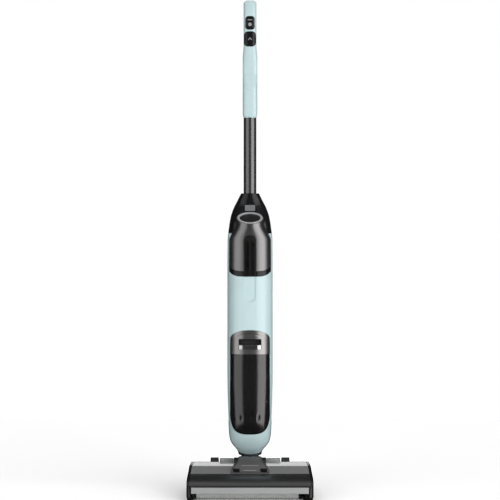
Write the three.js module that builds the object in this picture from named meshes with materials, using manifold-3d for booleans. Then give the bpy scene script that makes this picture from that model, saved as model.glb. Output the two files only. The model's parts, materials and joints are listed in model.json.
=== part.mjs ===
// Wet dry floor scrubber: an upright cordless cleaner that washes and vacuums hard floors.
// Millimetres, +Z up, the front faces -Y. The origin is on the floor, under the middle of the model.
import * as THREE from "three";
import { mergeVertices } from "three/addons/utils/BufferGeometryUtils.js";
import Module from "manifold-3d";

const wasm = await Module();
wasm.setup();

// ---- Driving dimensions -----------------------------------------------------------------------

const GAP = 0.35; // air between pieces that touch
const RUN = 1; // running clearance between pieces that move past each other
const WALL = 2.6; // moulded shells
const THIN_WALL = 2; // tanks, ducts and small covers
const DEG = Math.PI / 180;

// Floor head
const HEAD_WIDTH = 273; // over the end caps, at the front
const HEAD_TAPER = 4.5; // how much each side draws in towards the back
const SLOPE_TOP_Y = -20; // the rear cover's slope reaches its flat top
const HEAD_BACK_Y = 60; // back edge of the rear cover
const SLOPE_RISE = 10; // from the split between the covers to the flat top
const LIP_HEIGHT = 13;
const HEAD_CORNER = 9; // plan radius of the front corners
const REAR_ROUND = 12; // round of the head's rear top edge
const CLEAR_UNDER = 7; // height of the base tray above the floor
const CAP_THICK = 5; // width of an end cap
const LIP_THICK = 4;
const SKID = { length: 45, height: 7, width: 12, ahead: 26 }; // ahead of the split between the covers
const DRIVE_FOOT_WIDTH = 20; // the skid under the drive end is wider

const ROLLER = { radius: 19, nap: 6, y: -100, left: -116, lift: 0.4 };
const ROLLER_ROOM = { front: 12, back: 11, above: 13 }; // from the roller to the head's outside
const BELT = { x: 109, width: 6, thick: 1.8, y: -38, z: 26, driveRadius: 9, driverRadius: 6 };
const BRUSH_MOTOR = { radius: 15, length: 74, wall: 3, rotor: 10.5 };
const SCRAPER = { thick: 2, depth: 7 };
const DUCT = { width: 58, height: 22, bottom: 14 };

const WHEEL = { radius: 32, width: 17, x: 81, y: 99, tyre: 5, axle: 4 };
const HOUSING = { inner: 37, outer: 68, top: 66, back: 92 };
const HUMP = { base: 86, top: 54, height: 31, back: -3, shoulder: 9, notch: 7.6 };
const LATCH = { width: 14, height: 7, x: 30, depth: 6, travel: 2.5 };

// Neck
const PIVOT = { y: 52, z: 48, pin: 4.5, drum: 22 };
const COLLAR_RADIUS = 19;
const SOCKET = { radius: 23, bottom: 77, top: 98 };

// Main body
const BODY_WIDTH = 102;
const BODY_DEPTH = 110;
const BODY_Y = 40; // middle of the body's depth
const BODY_FOOT = 79; // underside of the bowl
const BOWL_HEIGHT = 50; // bowl below the dirty tank
const TANK_HEIGHT = 233; // floor to crown of the dirty tank
const MOTOR_BAY = 119; // tank crown to the upper cover
const SHELL_ABOVE = 99; // mint shell above the upper cover's foot
const COLLAR_HEIGHT = 88; // from the mint shell to the foot of the pole
const BOWL_END = 24.8; // half the width of the bowl's underside
const BODY_POWER = 2.6; // squareness of the body's section: 2 is an ellipse

const TANK = { halfWidth: 44.3, shoulder: 21, footRise: 42, back: 41, lid: 54 };
const SLOT = { width: 50.6, height: 13.5, above: 20, depth: 17 };
const LEVER = { height: 9.4, depth: 9 };
const STANDPIPE = { radius: 9, clear: 58, y: 14 };
const CLEAN_TANK = { halfWidth: 40, bottom: 140, height: 250, front: 52, corner: 14 };
const CLEAN_LATCH = { width: 30, height: 12, depth: 5, travel: 3 };
const STRIPE = { width: 27, above: 92, groove: 57, depth: 2.2 };
const BAND_HEIGHT = 12; // black band at the foot of the upper cover
const COVER_LIFT = 18; // how much the upper cover's foot rises towards its sides

const RING = { radius: 28.3, thick: 4.6, tilt: 27, y: 9, depth: 6, seat: 2 };
const RELEASE = { width: 22.8, height: 13, depth: 5, travel: 2.5 };

// Pole and handle
const POLE = { radius: 14.4, wall: 1.6, y: 62, inserted: 62, visible: 171, inHandle: 60 };
const HANDLE = { length: 266, width: 33, topWidth: 29, depth: 36, recess: 12 };
const TOP_BUTTON = { width: 21.5, height: 31, fromTop: 52.5, travel: 1 };
const BEZEL = { size: 27, height: 34.5, fromTop: 88.8, button: 17, travel: 1 };

// Facets around round pieces
const ROUND = 28;
const SMALL_ROUND = 16;
const BODY_FACETS = 32;

// ---- Heights that follow from them ------------------------------------------------------------

const TANK_FLOOR = BODY_FOOT + BOWL_HEIGHT;
const TANK_TOP = TANK_FLOOR + TANK_HEIGHT;
const COVER_FOOT = TANK_TOP + MOTOR_BAY;
const SHELL_TOP = COVER_FOOT + SHELL_ABOVE;
const POLE_FOOT = SHELL_TOP + COLLAR_HEIGHT;
const HANDLE_FOOT = POLE_FOOT + POLE.visible;
const HANDLE_TOP = HANDLE_FOOT + HANDLE.length;
const BODY_FRONT = BODY_Y - BODY_DEPTH / 2;
const BODY_BACK = BODY_Y + BODY_DEPTH / 2;
const LID_FOOT = TANK_TOP - TANK.lid;
const RING_Z = POLE_FOOT - 56;
const SPLIT_TOP = 2 * ROLLER.radius + ROLLER_ROOM.above; // cover height at the split
const HEAD_TOP = SPLIT_TOP + SLOPE_RISE;
const FRONT_Y = ROLLER.y - ROLLER.radius - ROLLER_ROOM.front; // front of the lip
const COVER_SPLIT_Y = ROLLER.y + ROLLER.radius + ROLLER_ROOM.back; // between the two covers
const LIP_TOP = ROLLER.radius + 10;
const LIP_BOTTOM = LIP_TOP - LIP_HEIGHT;

// ---- Solids -----------------------------------------------------------------------------------

// A closed three.js geometry as a manifold-3d solid.
function toSolid(geometry) {
  const bare = geometry.clone();
  bare.deleteAttribute("normal");
  bare.deleteAttribute("uv");
  const merged = mergeVertices(bare, 1e-3);
  return new wasm.Manifold(
    new wasm.Mesh({
      numProp: 3,
      vertProperties: merged.attributes.position.array,
      triVerts: new Uint32Array(merged.index.array),
    }),
  );
}

function toGeometry(solid) {
  const mesh = solid.getMesh();
  const geometry = new THREE.BufferGeometry();
  geometry.setAttribute("position", new THREE.BufferAttribute(mesh.vertProperties, 3));
  geometry.setIndex(new THREE.BufferAttribute(mesh.triVerts, 1));
  geometry.computeVertexNormals();
  return geometry;
}

const join = (first, ...rest) => rest.reduce((whole, piece) => whole.add(piece), first);
const cut = (first, ...rest) => rest.reduce((whole, piece) => whole.subtract(piece), first);
const common = (first, ...rest) => rest.reduce((whole, piece) => whole.intersect(piece), first);

// A box from its lowest to its highest corner.
function block(low, high) {
  const size = high.map((value, axis) => value - low[axis]);
  const middle = high.map((value, axis) => (value + low[axis]) / 2);
  return toSolid(new THREE.BoxGeometry(...size).translate(...middle));
}

const X = new THREE.Vector3(1, 0, 0);
const Y = new THREE.Vector3(0, 1, 0);
const Z = new THREE.Vector3(0, 0, 1);

// An outline drawn in one plane and pushed along the third axis, between two places on it.
const ALONG = {
  x: { basis: [Y, Z, X], place: (from) => [from, 0, 0] },
  y: { basis: [X, Z, Y.clone().negate()], place: (from, to) => [0, to, 0] },
  z: { basis: [X, Y, Z], place: (from) => [0, 0, from] },
};
function extrude(outline, axis, from, to, curveSegments = 8) {
  const { basis, place } = ALONG[axis];
  const options = { depth: to - from, bevelEnabled: false, curveSegments };
  const orientation = new THREE.Matrix4().makeBasis(...basis);
  const geometry = new THREE.ExtrudeGeometry(outline, options).applyMatrix4(orientation);
  return toSolid(geometry.translate(...place(from, to)));
}

// A round bar along an axis, from one place on it to another; at holds the other two coordinates.
function bar(axis, radius, from, to, at, facets = ROUND) {
  const geometry = new THREE.CylinderGeometry(radius, radius, to - from, facets);
  const middle = (from + to) / 2;
  if (axis === "x") geometry.rotateZ(-Math.PI / 2).translate(middle, at[0], at[1]);
  if (axis === "y") geometry.translate(at[0], middle, at[1]);
  if (axis === "z") geometry.rotateX(Math.PI / 2).translate(at[0], at[1], middle);
  return toSolid(geometry);
}

// A turned piece about the Z axis; the profile holds [radius, height] pairs from axis to axis.
function turned(profile, facets = ROUND) {
  const points = profile.map(([radius, height]) => new THREE.Vector2(radius, height));
  return toSolid(new THREE.LatheGeometry(points, facets).rotateX(Math.PI / 2));
}

// A rounded rectangle about the middle given.
function roundedRectangle(width, height, radius, middle = [0, 0]) {
  const left = middle[0] - width / 2;
  const right = middle[0] + width / 2;
  const bottom = middle[1] - height / 2;
  const top = middle[1] + height / 2;
  const shape = new THREE.Shape();
  shape.moveTo(left + radius, bottom);
  shape.lineTo(right - radius, bottom);
  shape.absarc(right - radius, bottom + radius, radius, -Math.PI / 2, 0);
  shape.lineTo(right, top - radius);
  shape.absarc(right - radius, top - radius, radius, 0, Math.PI / 2);
  shape.lineTo(left + radius, top);
  shape.absarc(left + radius, top - radius, radius, Math.PI / 2, Math.PI);
  shape.lineTo(left, bottom + radius);
  shape.absarc(left + radius, bottom + radius, radius, Math.PI, 1.5 * Math.PI);
  return shape;
}

function polygon(points) {
  return new THREE.Shape(points.map(([a, b]) => new THREE.Vector2(a, b)));
}

// A smooth value that passes through [place, value] pairs without overshooting them.
function through(pairs) {
  const slope = (i) => (pairs[i + 1][1] - pairs[i][1]) / (pairs[i + 1][0] - pairs[i][0]);
  const tangent = (i) => {
    if (i === 0) return slope(0);
    if (i === pairs.length - 1) return slope(i - 1);
    const before = slope(i - 1);
    const after = slope(i);
    return before * after <= 0 ? 0 : (2 * before * after) / (before + after);
  };
  return (place) => {
    const last = pairs.length - 2;
    const found = pairs.findIndex((pair, i) => i <= last && place <= pairs[i + 1][0]);
    const i = found < 0 ? last : found;
    const span = pairs[i + 1][0] - pairs[i][0];
    const t = THREE.MathUtils.clamp((place - pairs[i][0]) / span, 0, 1);
    const rise = pairs[i + 1][1] - pairs[i][1];
    const leaving = (1 - t) * (tangent(i) * span - rise);
    const arriving = t * (tangent(i + 1) * span - rise);
    return pairs[i][1] + rise * t + t * (1 - t) * (leaving - arriving);
  };
}

// Evenly spaced heights, both ends included.
const steps = (from, to, count) =>
  Array.from({ length: count + 1 }, (_, i) => from + ((to - from) * i) / count);

// A column whose section changes with height: a cylinder whose rings are drawn to the section's
// half width, front and back. The power sets how square the section is.
function column({ levels, halfWidth, front, back, power, facets = ROUND }) {
  const geometry = new THREE.CylinderGeometry(1, 1, 1, facets, levels.length - 1);
  geometry.rotateX(Math.PI / 2);
  const place = geometry.getAttribute("position");
  for (let i = 0; i < place.count; i += 1) {
    const row = Math.round((place.getZ(i) + 0.5) * (levels.length - 1));
    const level = levels[row];
    const squareness = 2 / (typeof power === "number" ? power : power(level));
    const reach = (value) => Math.sign(value) * Math.abs(value) ** squareness;
    const near = front(level);
    const far = back(level);
    const tidy = (value) => (Math.abs(value) < 1e-9 ? 0 : value);
    const x = halfWidth(level) * reach(tidy(place.getX(i)));
    const y = (near + far) / 2 + ((far - near) / 2) * reach(tidy(place.getY(i)));
    place.setXYZ(i, x, y, level);
  }
  return toSolid(geometry);
}

// ---- The main body's outer form ---------------------------------------------------------------

const halfBody = BODY_WIDTH / 2;
const bodyHalfWidth = through([
  [BODY_FOOT, BOWL_END],
  [BODY_FOOT + 6, BOWL_END + 1],
  [BODY_FOOT + 13, halfBody - 20.8],
  [BODY_FOOT + 22, halfBody - 13],
  [BODY_FOOT + 32, halfBody - 7.3],
  [BODY_FOOT + 42, halfBody - 5],
  [BODY_FOOT + 54, halfBody - 3.8],
  [BODY_FOOT + 72, halfBody - 3],
  [BODY_FOOT + 188, halfBody],
  [SHELL_TOP - 80, halfBody],
  [SHELL_TOP - 18, halfBody - 0.5],
  [SHELL_TOP + 9, halfBody - 3],
  [SHELL_TOP + 36, halfBody - 7.5],
  [SHELL_TOP + 55, halfBody - 14],
  [SHELL_TOP + 72, POLE.radius + 14],
  [POLE_FOOT, POLE.radius + 6],
]);
const bodyFront = through([
  [BODY_FOOT, PIVOT.y - BOWL_END],
  [BODY_FOOT + 18, THREE.MathUtils.lerp(BODY_FRONT, PIVOT.y - BOWL_END, 0.55)],
  [BODY_FOOT + 47, THREE.MathUtils.lerp(BODY_FRONT, PIVOT.y - BOWL_END, 0.17)],
  [BODY_FOOT + 90, BODY_FRONT],
  [SHELL_TOP, BODY_FRONT],
]);
const bodyBack = through([
  [BODY_FOOT, PIVOT.y + BOWL_END],
  [BODY_FOOT + 18, THREE.MathUtils.lerp(BODY_BACK, PIVOT.y + BOWL_END, 0.5)],
  [BODY_FOOT + 60, BODY_BACK],
  [SHELL_TOP - 30, BODY_BACK],
  [SHELL_TOP + 45, BODY_BACK - 8],
  [POLE_FOOT, POLE.y + POLE.radius + 5],
]);

const BOWL_LEVELS = [0, 6, 13, 22, 32, 42, 54, 72, 120, 188].map((rise) => BODY_FOOT + rise);
const UPPER_LEVELS = [...steps(SHELL_TOP - 80, SHELL_TOP, 3)];

// The body between its foot and the top of the mint shell, drawn in by a wall's thickness.
function bodyForm(inset = 0, facets = BODY_FACETS) {
  const levels = [...BOWL_LEVELS, ...UPPER_LEVELS];
  levels[0] += inset;
  return column({
    levels,
    halfWidth: (z) => bodyHalfWidth(z) - inset,
    front: (z) => bodyFront(z) + inset,
    back: (z) => bodyBack(z) - inset,
    power: BODY_POWER,
    facets,
  });
}

// The display housing: as wide as the body at its foot, as round as the ring at its top.
const RING_TILT = RING.tilt * DEG;
const ringDepth = RING.radius * Math.cos(RING_TILT);
const ringRise = RING.radius * Math.sin(RING_TILT);
function hoodForm(inset = 0) {
  const shoulder = SHELL_TOP - 18;
  const neck = RING_Z - ringRise + 2;
  const blend = (z) => THREE.MathUtils.smoothstep(z, shoulder, neck);
  const backAtFoot = BODY_FRONT + 36;
  return column({
    levels: [
      ...steps(COVER_FOOT - 8, shoulder, 3),
      ...steps(shoulder + 8, neck, 5),
      RING_Z + ringRise + 12,
    ],
    halfWidth: (z) => THREE.MathUtils.lerp(bodyHalfWidth(z), RING.radius + RING.seat, blend(z)) - inset,
    front: (z) => THREE.MathUtils.lerp(BODY_FRONT, RING.y - ringDepth - RING.seat, blend(z)) + inset,
    back: (z) => THREE.MathUtils.lerp(BODY_BACK, RING.y + ringDepth + RING.seat, blend(z)) - inset,
    power: (z) => THREE.MathUtils.lerp(BODY_POWER, 2, blend(z)),
    facets: BODY_FACETS,
  });
}

// The black collar that rises behind the display housing to the pole.
const collarFront = through([
  [SHELL_TOP - 30, RING.y + 4],
  [RING_Z - 12, RING.y + 14],
  [RING_Z + ringRise, RING.y + ringDepth],
  [POLE_FOOT - 24, POLE.y - 22],
  [POLE_FOOT, POLE.y - POLE.radius - 5],
]);
function collarForm(inset = 0) {
  return column({
    levels: steps(SHELL_TOP - 24, POLE_FOOT, 11),
    halfWidth: (z) => bodyHalfWidth(z) - inset,
    front: (z) => collarFront(z) + inset,
    back: (z) => bodyBack(z) - inset,
    power: (z) => THREE.MathUtils.mapLinear(z, SHELL_TOP, POLE_FOOT, BODY_POWER, 2),
    facets: BODY_FACETS,
  });
}

// A slab that lies in the ring's sloping plane, from below to above along the plane's normal.
function ringSlab(shape, below, above) {
  const options = { depth: above - below, bevelEnabled: false, curveSegments: 16 };
  const geometry = new THREE.ExtrudeGeometry(shape, options);
  geometry.translate(0, 0, below).rotateX(RING_TILT).translate(0, RING.y, RING_Z);
  return toSolid(geometry);
}
function disc(radius, hole = 0) {
  const shape = new THREE.Shape().absarc(0, 0, radius, 0, 2 * Math.PI);
  if (hole) shape.holes.push(new THREE.Path().absarc(0, 0, hole, 0, 2 * Math.PI, true));
  return shape;
}

// Everything beyond this, for cutting tools that must pass right through.
const FAR = 400;

// The dirty tank's outline from the front: an arched crown, straight sides and a bowed foot.
// The inset draws it in all round.
function tankOutline(inset = 0) {
  const half = TANK.halfWidth - inset;
  const top = TANK_TOP - inset;
  const foot = TANK_FLOOR + inset;
  const shape = new THREE.Shape();
  shape.moveTo(-half, foot + TANK.footRise);
  shape.bezierCurveTo(-half * 0.95, foot + TANK.footRise * 0.1, -half * 0.63, foot, 0, foot);
  shape.bezierCurveTo(half * 0.63, foot, half * 0.95, foot + TANK.footRise * 0.1, half, foot + TANK.footRise);
  shape.lineTo(half, top - TANK.shoulder);
  shape.bezierCurveTo(half, top - TANK.shoulder * 0.4, half * 0.6, top, 0, top);
  shape.bezierCurveTo(-half * 0.6, top, -half, top - TANK.shoulder * 0.4, -half, top - TANK.shoulder);
  return shape;
}

// The clean tank's outline from the back.
function cleanOutline(inset = 0) {
  const width = 2 * (CLEAN_TANK.halfWidth - inset);
  const middle = CLEAN_TANK.bottom + CLEAN_TANK.height / 2;
  return roundedRectangle(width, CLEAN_TANK.height - 2 * inset, CLEAN_TANK.corner - inset, [0, middle]);
}

// The stripe down the middle of the front, round at both ends.
function stripeOutline(inset, from, to) {
  const width = STRIPE.width - 2 * inset;
  return roundedRectangle(width, to - from - 2 * inset, width / 2 - 0.1, [0, (from + to) / 2]);
}

const SEAM_Y = BODY_Y; // where the front and rear shells meet
const SIDE_SEAM_Y = BODY_Y - 29; // where the upper cover meets the rear shell
const behind = (y) => block([-FAR, y, -FAR], [FAR, FAR, 3 * FAR]);
const before = (y) => block([-FAR, -FAR, -FAR], [FAR, y, 3 * FAR]);
const above = (z) => block([-FAR, -FAR, z], [FAR, FAR, 3 * FAR]);
const below = (z) => block([-FAR, -FAR, -FAR], [FAR, FAR, z]);

// Everything above the upper cover's foot, which rises towards the sides; the offset lifts it.
function aboveCoverLine(offset) {
  const line = steps(-halfBody - 10, halfBody + 10, 24).map((x) => {
    const lift = Math.min(1, Math.abs(x) / halfBody) ** 5;
    return [x, COVER_FOOT + offset + COVER_LIFT * lift];
  });
  const top = [[line.at(-1)[0], 2 * FAR], [line[0][0], 2 * FAR]];
  return extrude(polygon([...line, ...top]), "y", -FAR, FAR);
}

const outer = bodyForm();
const inner = bodyForm(WALL);
const shell = cut(outer, inner);
const socketBore = bar("z", SOCKET.radius + GAP, BODY_FOOT - 5, BODY_FOOT + WALL + 5, [0, PIVOT.y]);
const bayCut = extrude(tankOutline(), "y", BODY_FRONT - 20, SEAM_Y + 1, 10);
const cleanCut = extrude(cleanOutline(), "y", CLEAN_TANK.front, BODY_BACK + 20);

// ---- Finishes ---------------------------------------------------------------------------------

const finish = (color, roughness, metalness = 0) =>
  new THREE.MeshStandardMaterial({ color, roughness, metalness });
const MINT = finish(0xb9d4d6, 0.4);
const BLACK_GLOSS = finish(0x0e0e0f, 0.12);
const BLACK_MATT = finish(0x19191a, 0.55);
const GUNMETAL = finish(0x3a3a3c, 0.2, 0.3);
const SMOKE = finish(0x222325, 0.08);
const SILVER = finish(0x8f9193, 0.3, 0.6);
const CHROME = finish(0xc6c7c9, 0.12, 1);
const STEEL = finish(0x9a9c9e, 0.3, 1);
const POLE_METAL = finish(0x4c4d4f, 0.28, 0.9);
const GREY = finish(0x8b8d8f, 0.45);
const PALE_GREY = finish(0xb9bbbc, 0.4);
const NAP = finish(0x9a9a98, 0.95);
const RUBBER = finish(0x202021, 0.8);
const BRASS = finish(0xb08d45, 0.35, 1);
const BOARD_GREEN = finish(0x2c5c3a, 0.6);

// A named piece; its solid may be drawn round its own middle and then placed.
function piece(name, solid, material, place = [0, 0, 0]) {
  const mesh = new THREE.Mesh(toGeometry(solid), material);
  mesh.name = name;
  mesh.position.set(...place);
  return mesh;
}

// ---- Main body: shells and covers -------------------------------------------------------------

const aboveRingPlane = ringSlab(disc(FAR), -0.6, FAR);
const ringSeat = ringSlab(disc(RING.radius + GAP), -RING.depth, FAR);
const stripeTop = COVER_FOOT + STRIPE.above;
const stripeFoot = COVER_FOOT - STRIPE.groove;
const GRILLE = { width: 60, height: 36, corner: 8, z: COVER_FOOT - 34, slots: 5, slot: 3.2 };
const CONTACTS = { width: 30, height: 12, z: BODY_FOOT + 34 };

// The stripe's slot, from in front of the body to a depth inside it.
const stripeSlot = (inset, depth) =>
  extrude(stripeOutline(inset, stripeFoot, stripeTop), "y", BODY_FRONT - 20, BODY_FRONT + depth);

// A rounded opening in the back of the body, drawn in by an inset.
const backOpening = ({ width, height, corner = 3, z }, inset = 0) =>
  extrude(
    roundedRectangle(width - 2 * inset, height - 2 * inset, corner - inset, [0, z]),
    "y",
    BODY_Y + 20,
    BODY_BACK + 20,
    4,
  );

function frontShell() {
  const sides = common(before(SEAM_Y - GAP / 2), below(COVER_FOOT - GAP));
  const half = common(shell, join(sides, before(SIDE_SEAM_Y - GAP / 2)));
  return cut(half, aboveCoverLine(-GAP), stripeSlot(0, STRIPE.depth), bayCut, socketBore);
}

function rearShell() {
  const back = behind(SEAM_Y + GAP / 2);
  const upperSides = common(behind(SIDE_SEAM_Y + GAP / 2), above(COVER_FOOT));
  const wall = common(shell, join(back, upperSides), below(SHELL_TOP - WALL));
  return cut(wall, cleanCut, socketBore, backOpening(GRILLE), backOpening(CONTACTS));
}

function trimBand() {
  const band = common(shell, before(SIDE_SEAM_Y - GAP / 2), aboveCoverLine(0));
  return cut(band, aboveCoverLine(BAND_HEIGHT - GAP), stripeSlot(0, STRIPE.depth));
}

function upperCover() {
  const hood = cut(hoodForm(), hoodForm(WALL), aboveRingPlane, ringSeat);
  const front = common(hood, join(before(SIDE_SEAM_Y - GAP / 2), above(SHELL_TOP)));
  return cut(common(front, aboveCoverLine(BAND_HEIGHT)), stripeSlot(0, STRIPE.depth));
}

function centreStripe() {
  const strip = common(hoodForm(), stripeSlot(GAP, STRIPE.depth - GAP));
  return common(strip, above(COVER_FOOT + GAP));
}

function topCollar() {
  const solid = common(collarForm(), above(SHELL_TOP - WALL + GAP));
  const hollow = common(collarForm(WALL), below(POLE_FOOT - 24));
  const hood = cut(hoodForm(-GAP), ringSlab(disc(FAR), GAP, FAR));
  const display = ringSlab(disc(RING.radius + RING.seat + GAP), -RING.depth, 60);
  const poleBore = bar("z", POLE.radius + GAP, POLE_FOOT - 80, POLE_FOOT + 10, [0, POLE.y]);
  return cut(solid, hollow, hood, display, poleBore, releasePocket());
}

const RELEASE_Z = RING_Z + 22.5;
const releaseFront = collarFront(RELEASE_Z) - 1.5;
const releasePocket = () =>
  block(
    [-RELEASE.width / 2 - GAP, releaseFront - 20, RELEASE_Z - RELEASE.height / 2 - GAP],
    [
      RELEASE.width / 2 + GAP,
      releaseFront + RELEASE.depth + RELEASE.travel + GAP,
      RELEASE_Z + RELEASE.height / 2 + GAP,
    ],
  );

// The pole's release button, with finger ribs across it.
function releaseButton() {
  const half = RELEASE.width / 2;
  const ribs = 3;
  const pitch = RELEASE.height / (ribs + 1);
  const body = block([-half, 0, -RELEASE.height / 2], [half, RELEASE.depth, RELEASE.height / 2]);
  const grooves = Array.from({ length: ribs }, (_, i) => {
    const z = (i - (ribs - 1) / 2) * pitch;
    return block([-half + 2, -1, z - 0.7], [half - 2, 0.9, z + 0.7]);
  });
  return cut(body, ...grooves);
}

function exhaustGrille() {
  const panel = common(shell, backOpening(GRILLE, GAP));
  const pitch = GRILLE.height / (GRILLE.slots + 1);
  const slots = Array.from({ length: GRILLE.slots }, (_, i) => {
    const z = GRILLE.z + (i - (GRILLE.slots - 1) / 2) * pitch;
    const half = GRILLE.width / 2 - 7;
    return block([-half, BODY_Y, z - GRILLE.slot / 2], [half, BODY_BACK + 5, z + GRILLE.slot / 2]);
  });
  return cut(panel, ...slots);
}

// ---- Main body: inside ------------------------------------------------------------------------

const MOTOR_RADIUS = BODY_DEPTH * 0.209;
const MOTOR = { radius: MOTOR_RADIUS, height: 70, y: BODY_FRONT + MOTOR_RADIUS + 8, foot: TANK_TOP + 6 };
const FRAME_PLATE = { front: 44, back: 47, top: SHELL_TOP - 24 };
const BATTERY = { width: 66, front: BODY_FRONT + 9, back: 40, foot: COVER_FOOT - 30, height: 96 };
const PUMP = { radius: 13, length: 46, y: BODY_BACK - 25, z: CLEAN_TANK.bottom + CLEAN_TANK.height + 20 };
const BOARD = { width: 62, height: 84, y: 51, thick: 1.6, foot: COVER_FOOT + 4 };

function innerFrame() {
  const roomy = bodyForm(WALL + GAP, 32);
  const { front, back, top } = FRAME_PLATE;
  const plate = block([-FAR, front, TANK_FLOOR - 8], [FAR, back, top]);
  const shelf = block([-FAR, -FAR, TANK_TOP + 1], [FAR, back, TANK_TOP + 4]);
  const floor = block([-FAR, -FAR, TANK_FLOOR - 5], [FAR, back, TANK_FLOOR - 2]);
  const inlet = bar("z", 14, TANK_FLOOR - 9, TANK_FLOOR, [0, MOTOR.y]);
  const airHole = bar("z", 12, TANK_TOP, TANK_TOP + 5, [0, MOTOR.y]);
  return cut(common(roomy, join(plate, shelf, floor)), inlet, airHole);
}

function suctionMotor() {
  const { radius, height } = MOTOR;
  const profile = [
    [0, 0],
    [radius, 0],
    [radius, height * 0.35],
    [radius - 4, height * 0.42],
    [radius - 4, height - 5],
    [radius - 9, height],
    [0, height],
  ];
  return turned(profile, 24);
}

function batteryPack() {
  const { width, front, back, foot, height } = BATTERY;
  const pack = block([-width / 2, front, foot], [width / 2, back, foot + height]);
  return common(pack, hoodForm(WALL + RUN));
}

const controlBoard = () =>
  block(
    [-BOARD.width / 2, BOARD.y, BOARD.foot],
    [BOARD.width / 2, BOARD.y + BOARD.thick, BOARD.foot + BOARD.height],
  );
const waterPump = () => bar("x", PUMP.radius, -PUMP.length / 2, PUMP.length / 2, [0, 0], SMALL_ROUND);

// ---- Dirty tank -------------------------------------------------------------------------------

const tankPrism = (inset, back) => extrude(tankOutline(inset), "y", BODY_FRONT - 20, back, 10);

function dirtyTank() {
  const solid = common(outer, tankPrism(GAP, TANK.back), below(LID_FOOT - GAP));
  const hollow = common(bodyForm(THIN_WALL), tankPrism(GAP + THIN_WALL, TANK.back - THIN_WALL));
  return join(cut(solid, hollow), tankInlet());
}

const slotTop = TANK_TOP - SLOT.above;
const slotFoot = slotTop - SLOT.height;
const leverFoot = slotFoot - LEVER.height;

// A box in the lid, centred, from the front surface inwards.
const lidBox = (width, depth, low, high) =>
  block([-width / 2, BODY_FRONT - 20, low], [width / 2, BODY_FRONT + depth, high]);

const FILTER = { width: 40, front: 9, below: 22, height: 15 };
function tankLid() {
  const solid = common(outer, tankPrism(GAP, TANK.back), above(LID_FOOT));
  const finger = lidBox(SLOT.width, SLOT.depth, slotFoot, slotTop);
  const leverBay = lidBox(SLOT.width, LEVER.depth + RUN, leverFoot - GAP, slotFoot + GAP);
  const half = FILTER.width / 2 + GAP;
  const foot = TANK_TOP - FILTER.below - GAP;
  const filterBay = block([-half, FILTER.front - GAP, foot], [half, FAR, foot + FILTER.height + 2 * GAP]);
  return cut(solid, finger, leverBay, filterBay);
}

const tankLever = () => common(outer, lidBox(SLOT.width - 2 * RUN, LEVER.depth, leverFoot, slotFoot - GAP));

function tankFilter() {
  const half = FILTER.width / 2;
  const foot = TANK_TOP - FILTER.below;
  return block([-half, FILTER.front, foot], [half, TANK.back - RUN, foot + FILTER.height]);
}

function standpipe() {
  const { radius, clear } = STANDPIPE;
  const foot = TANK_FLOOR + clear;
  const length = LID_FOOT - GAP - foot;
  const round = steps(0, 90, 4).map((a) => [radius * Math.sin(a * DEG), radius * (1 - Math.cos(a * DEG))]);
  return turned([...round, [radius, length], [0, length]], SMALL_ROUND);
}

function tankInlet() {
  const { y } = STANDPIPE;
  const low = TANK_FLOOR + GAP + THIN_WALL;
  return block([-11, y - 11, low - 1], [11, y + 11, low + 15]);
}

const FLOAT = { radius: 6, x: 22, below: 18 };

// ---- Clean tank -------------------------------------------------------------------------------

const CAP = { radius: 13, height: 6, y: (CLEAN_TANK.front + BODY_BACK) / 2 - 1.5 };
const cleanTop = CLEAN_TANK.bottom + CLEAN_TANK.height;
const cleanPrism = (inset, front) => extrude(cleanOutline(inset), "y", front, BODY_BACK + 20, 4);
const cleanLatchZ = cleanTop - 20;

function cleanTank() {
  const solid = common(outer, cleanPrism(GAP, CLEAN_TANK.front + GAP));
  const chamber = cleanPrism(GAP + THIN_WALL, CLEAN_TANK.front + GAP + THIN_WALL);
  const hollow = common(bodyForm(THIN_WALL), chamber, below(cleanTop - 32));
  const neck = bar("z", CAP.radius - 5, cleanTop - 40, cleanTop, [0, CAP.y], SMALL_ROUND);
  const capSeat = bar("z", CAP.radius + GAP, cleanTop - CAP.height - 2 * GAP, cleanTop + 1, [0, CAP.y]);
  return cut(solid, hollow, neck, capSeat, cleanLatchBox(GAP, CLEAN_LATCH.travel + GAP));
}

// The latch button's room in the back of the tank: a margin round it and its travel below it.
function cleanLatchBox(margin, room) {
  const { width, height, depth } = CLEAN_LATCH;
  return block(
    [-width / 2 - margin, BODY_BACK - depth - margin, cleanLatchZ - height / 2 - room],
    [width / 2 + margin, BODY_BACK + (margin ? 20 : 0), cleanLatchZ + height / 2 + margin],
  );
}
const cleanLatch = () => common(outer, cleanLatchBox(0, 0));

function cleanCap() {
  const { radius, height } = CAP;
  const cap = turned([[0, 0], [radius, 0], [radius, height - 1], [radius - 1, height], [0, height]], SMALL_ROUND);
  return cut(cap, block([-radius * 0.7, -1.5, height - 2.5], [radius * 0.7, 1.5, height + 1]));
}

// ---- Floor head -------------------------------------------------------------------------------

const halfHead = HEAD_WIDTH / 2;
const ROLLER_Z = ROLLER.radius + ROLLER.lift;

// The head from above, drawn in at its sides; the front corners are round.
function headPlan(inset = 0) {
  const half = halfHead - inset;
  const back = half - HEAD_TAPER;
  const corner = Math.max(HEAD_CORNER - inset * 0.8, 0.5);
  const shape = new THREE.Shape();
  shape.moveTo(-half + corner, FRONT_Y);
  shape.lineTo(half - corner, FRONT_Y);
  shape.quadraticCurveTo(half, FRONT_Y, half, FRONT_Y + corner);
  shape.lineTo(back, HEAD_BACK_Y);
  shape.lineTo(-back, HEAD_BACK_Y);
  shape.lineTo(-half, FRONT_Y + corner);
  shape.quadraticCurveTo(-half, FRONT_Y, -half + corner, FRONT_Y);
  return shape;
}

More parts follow.
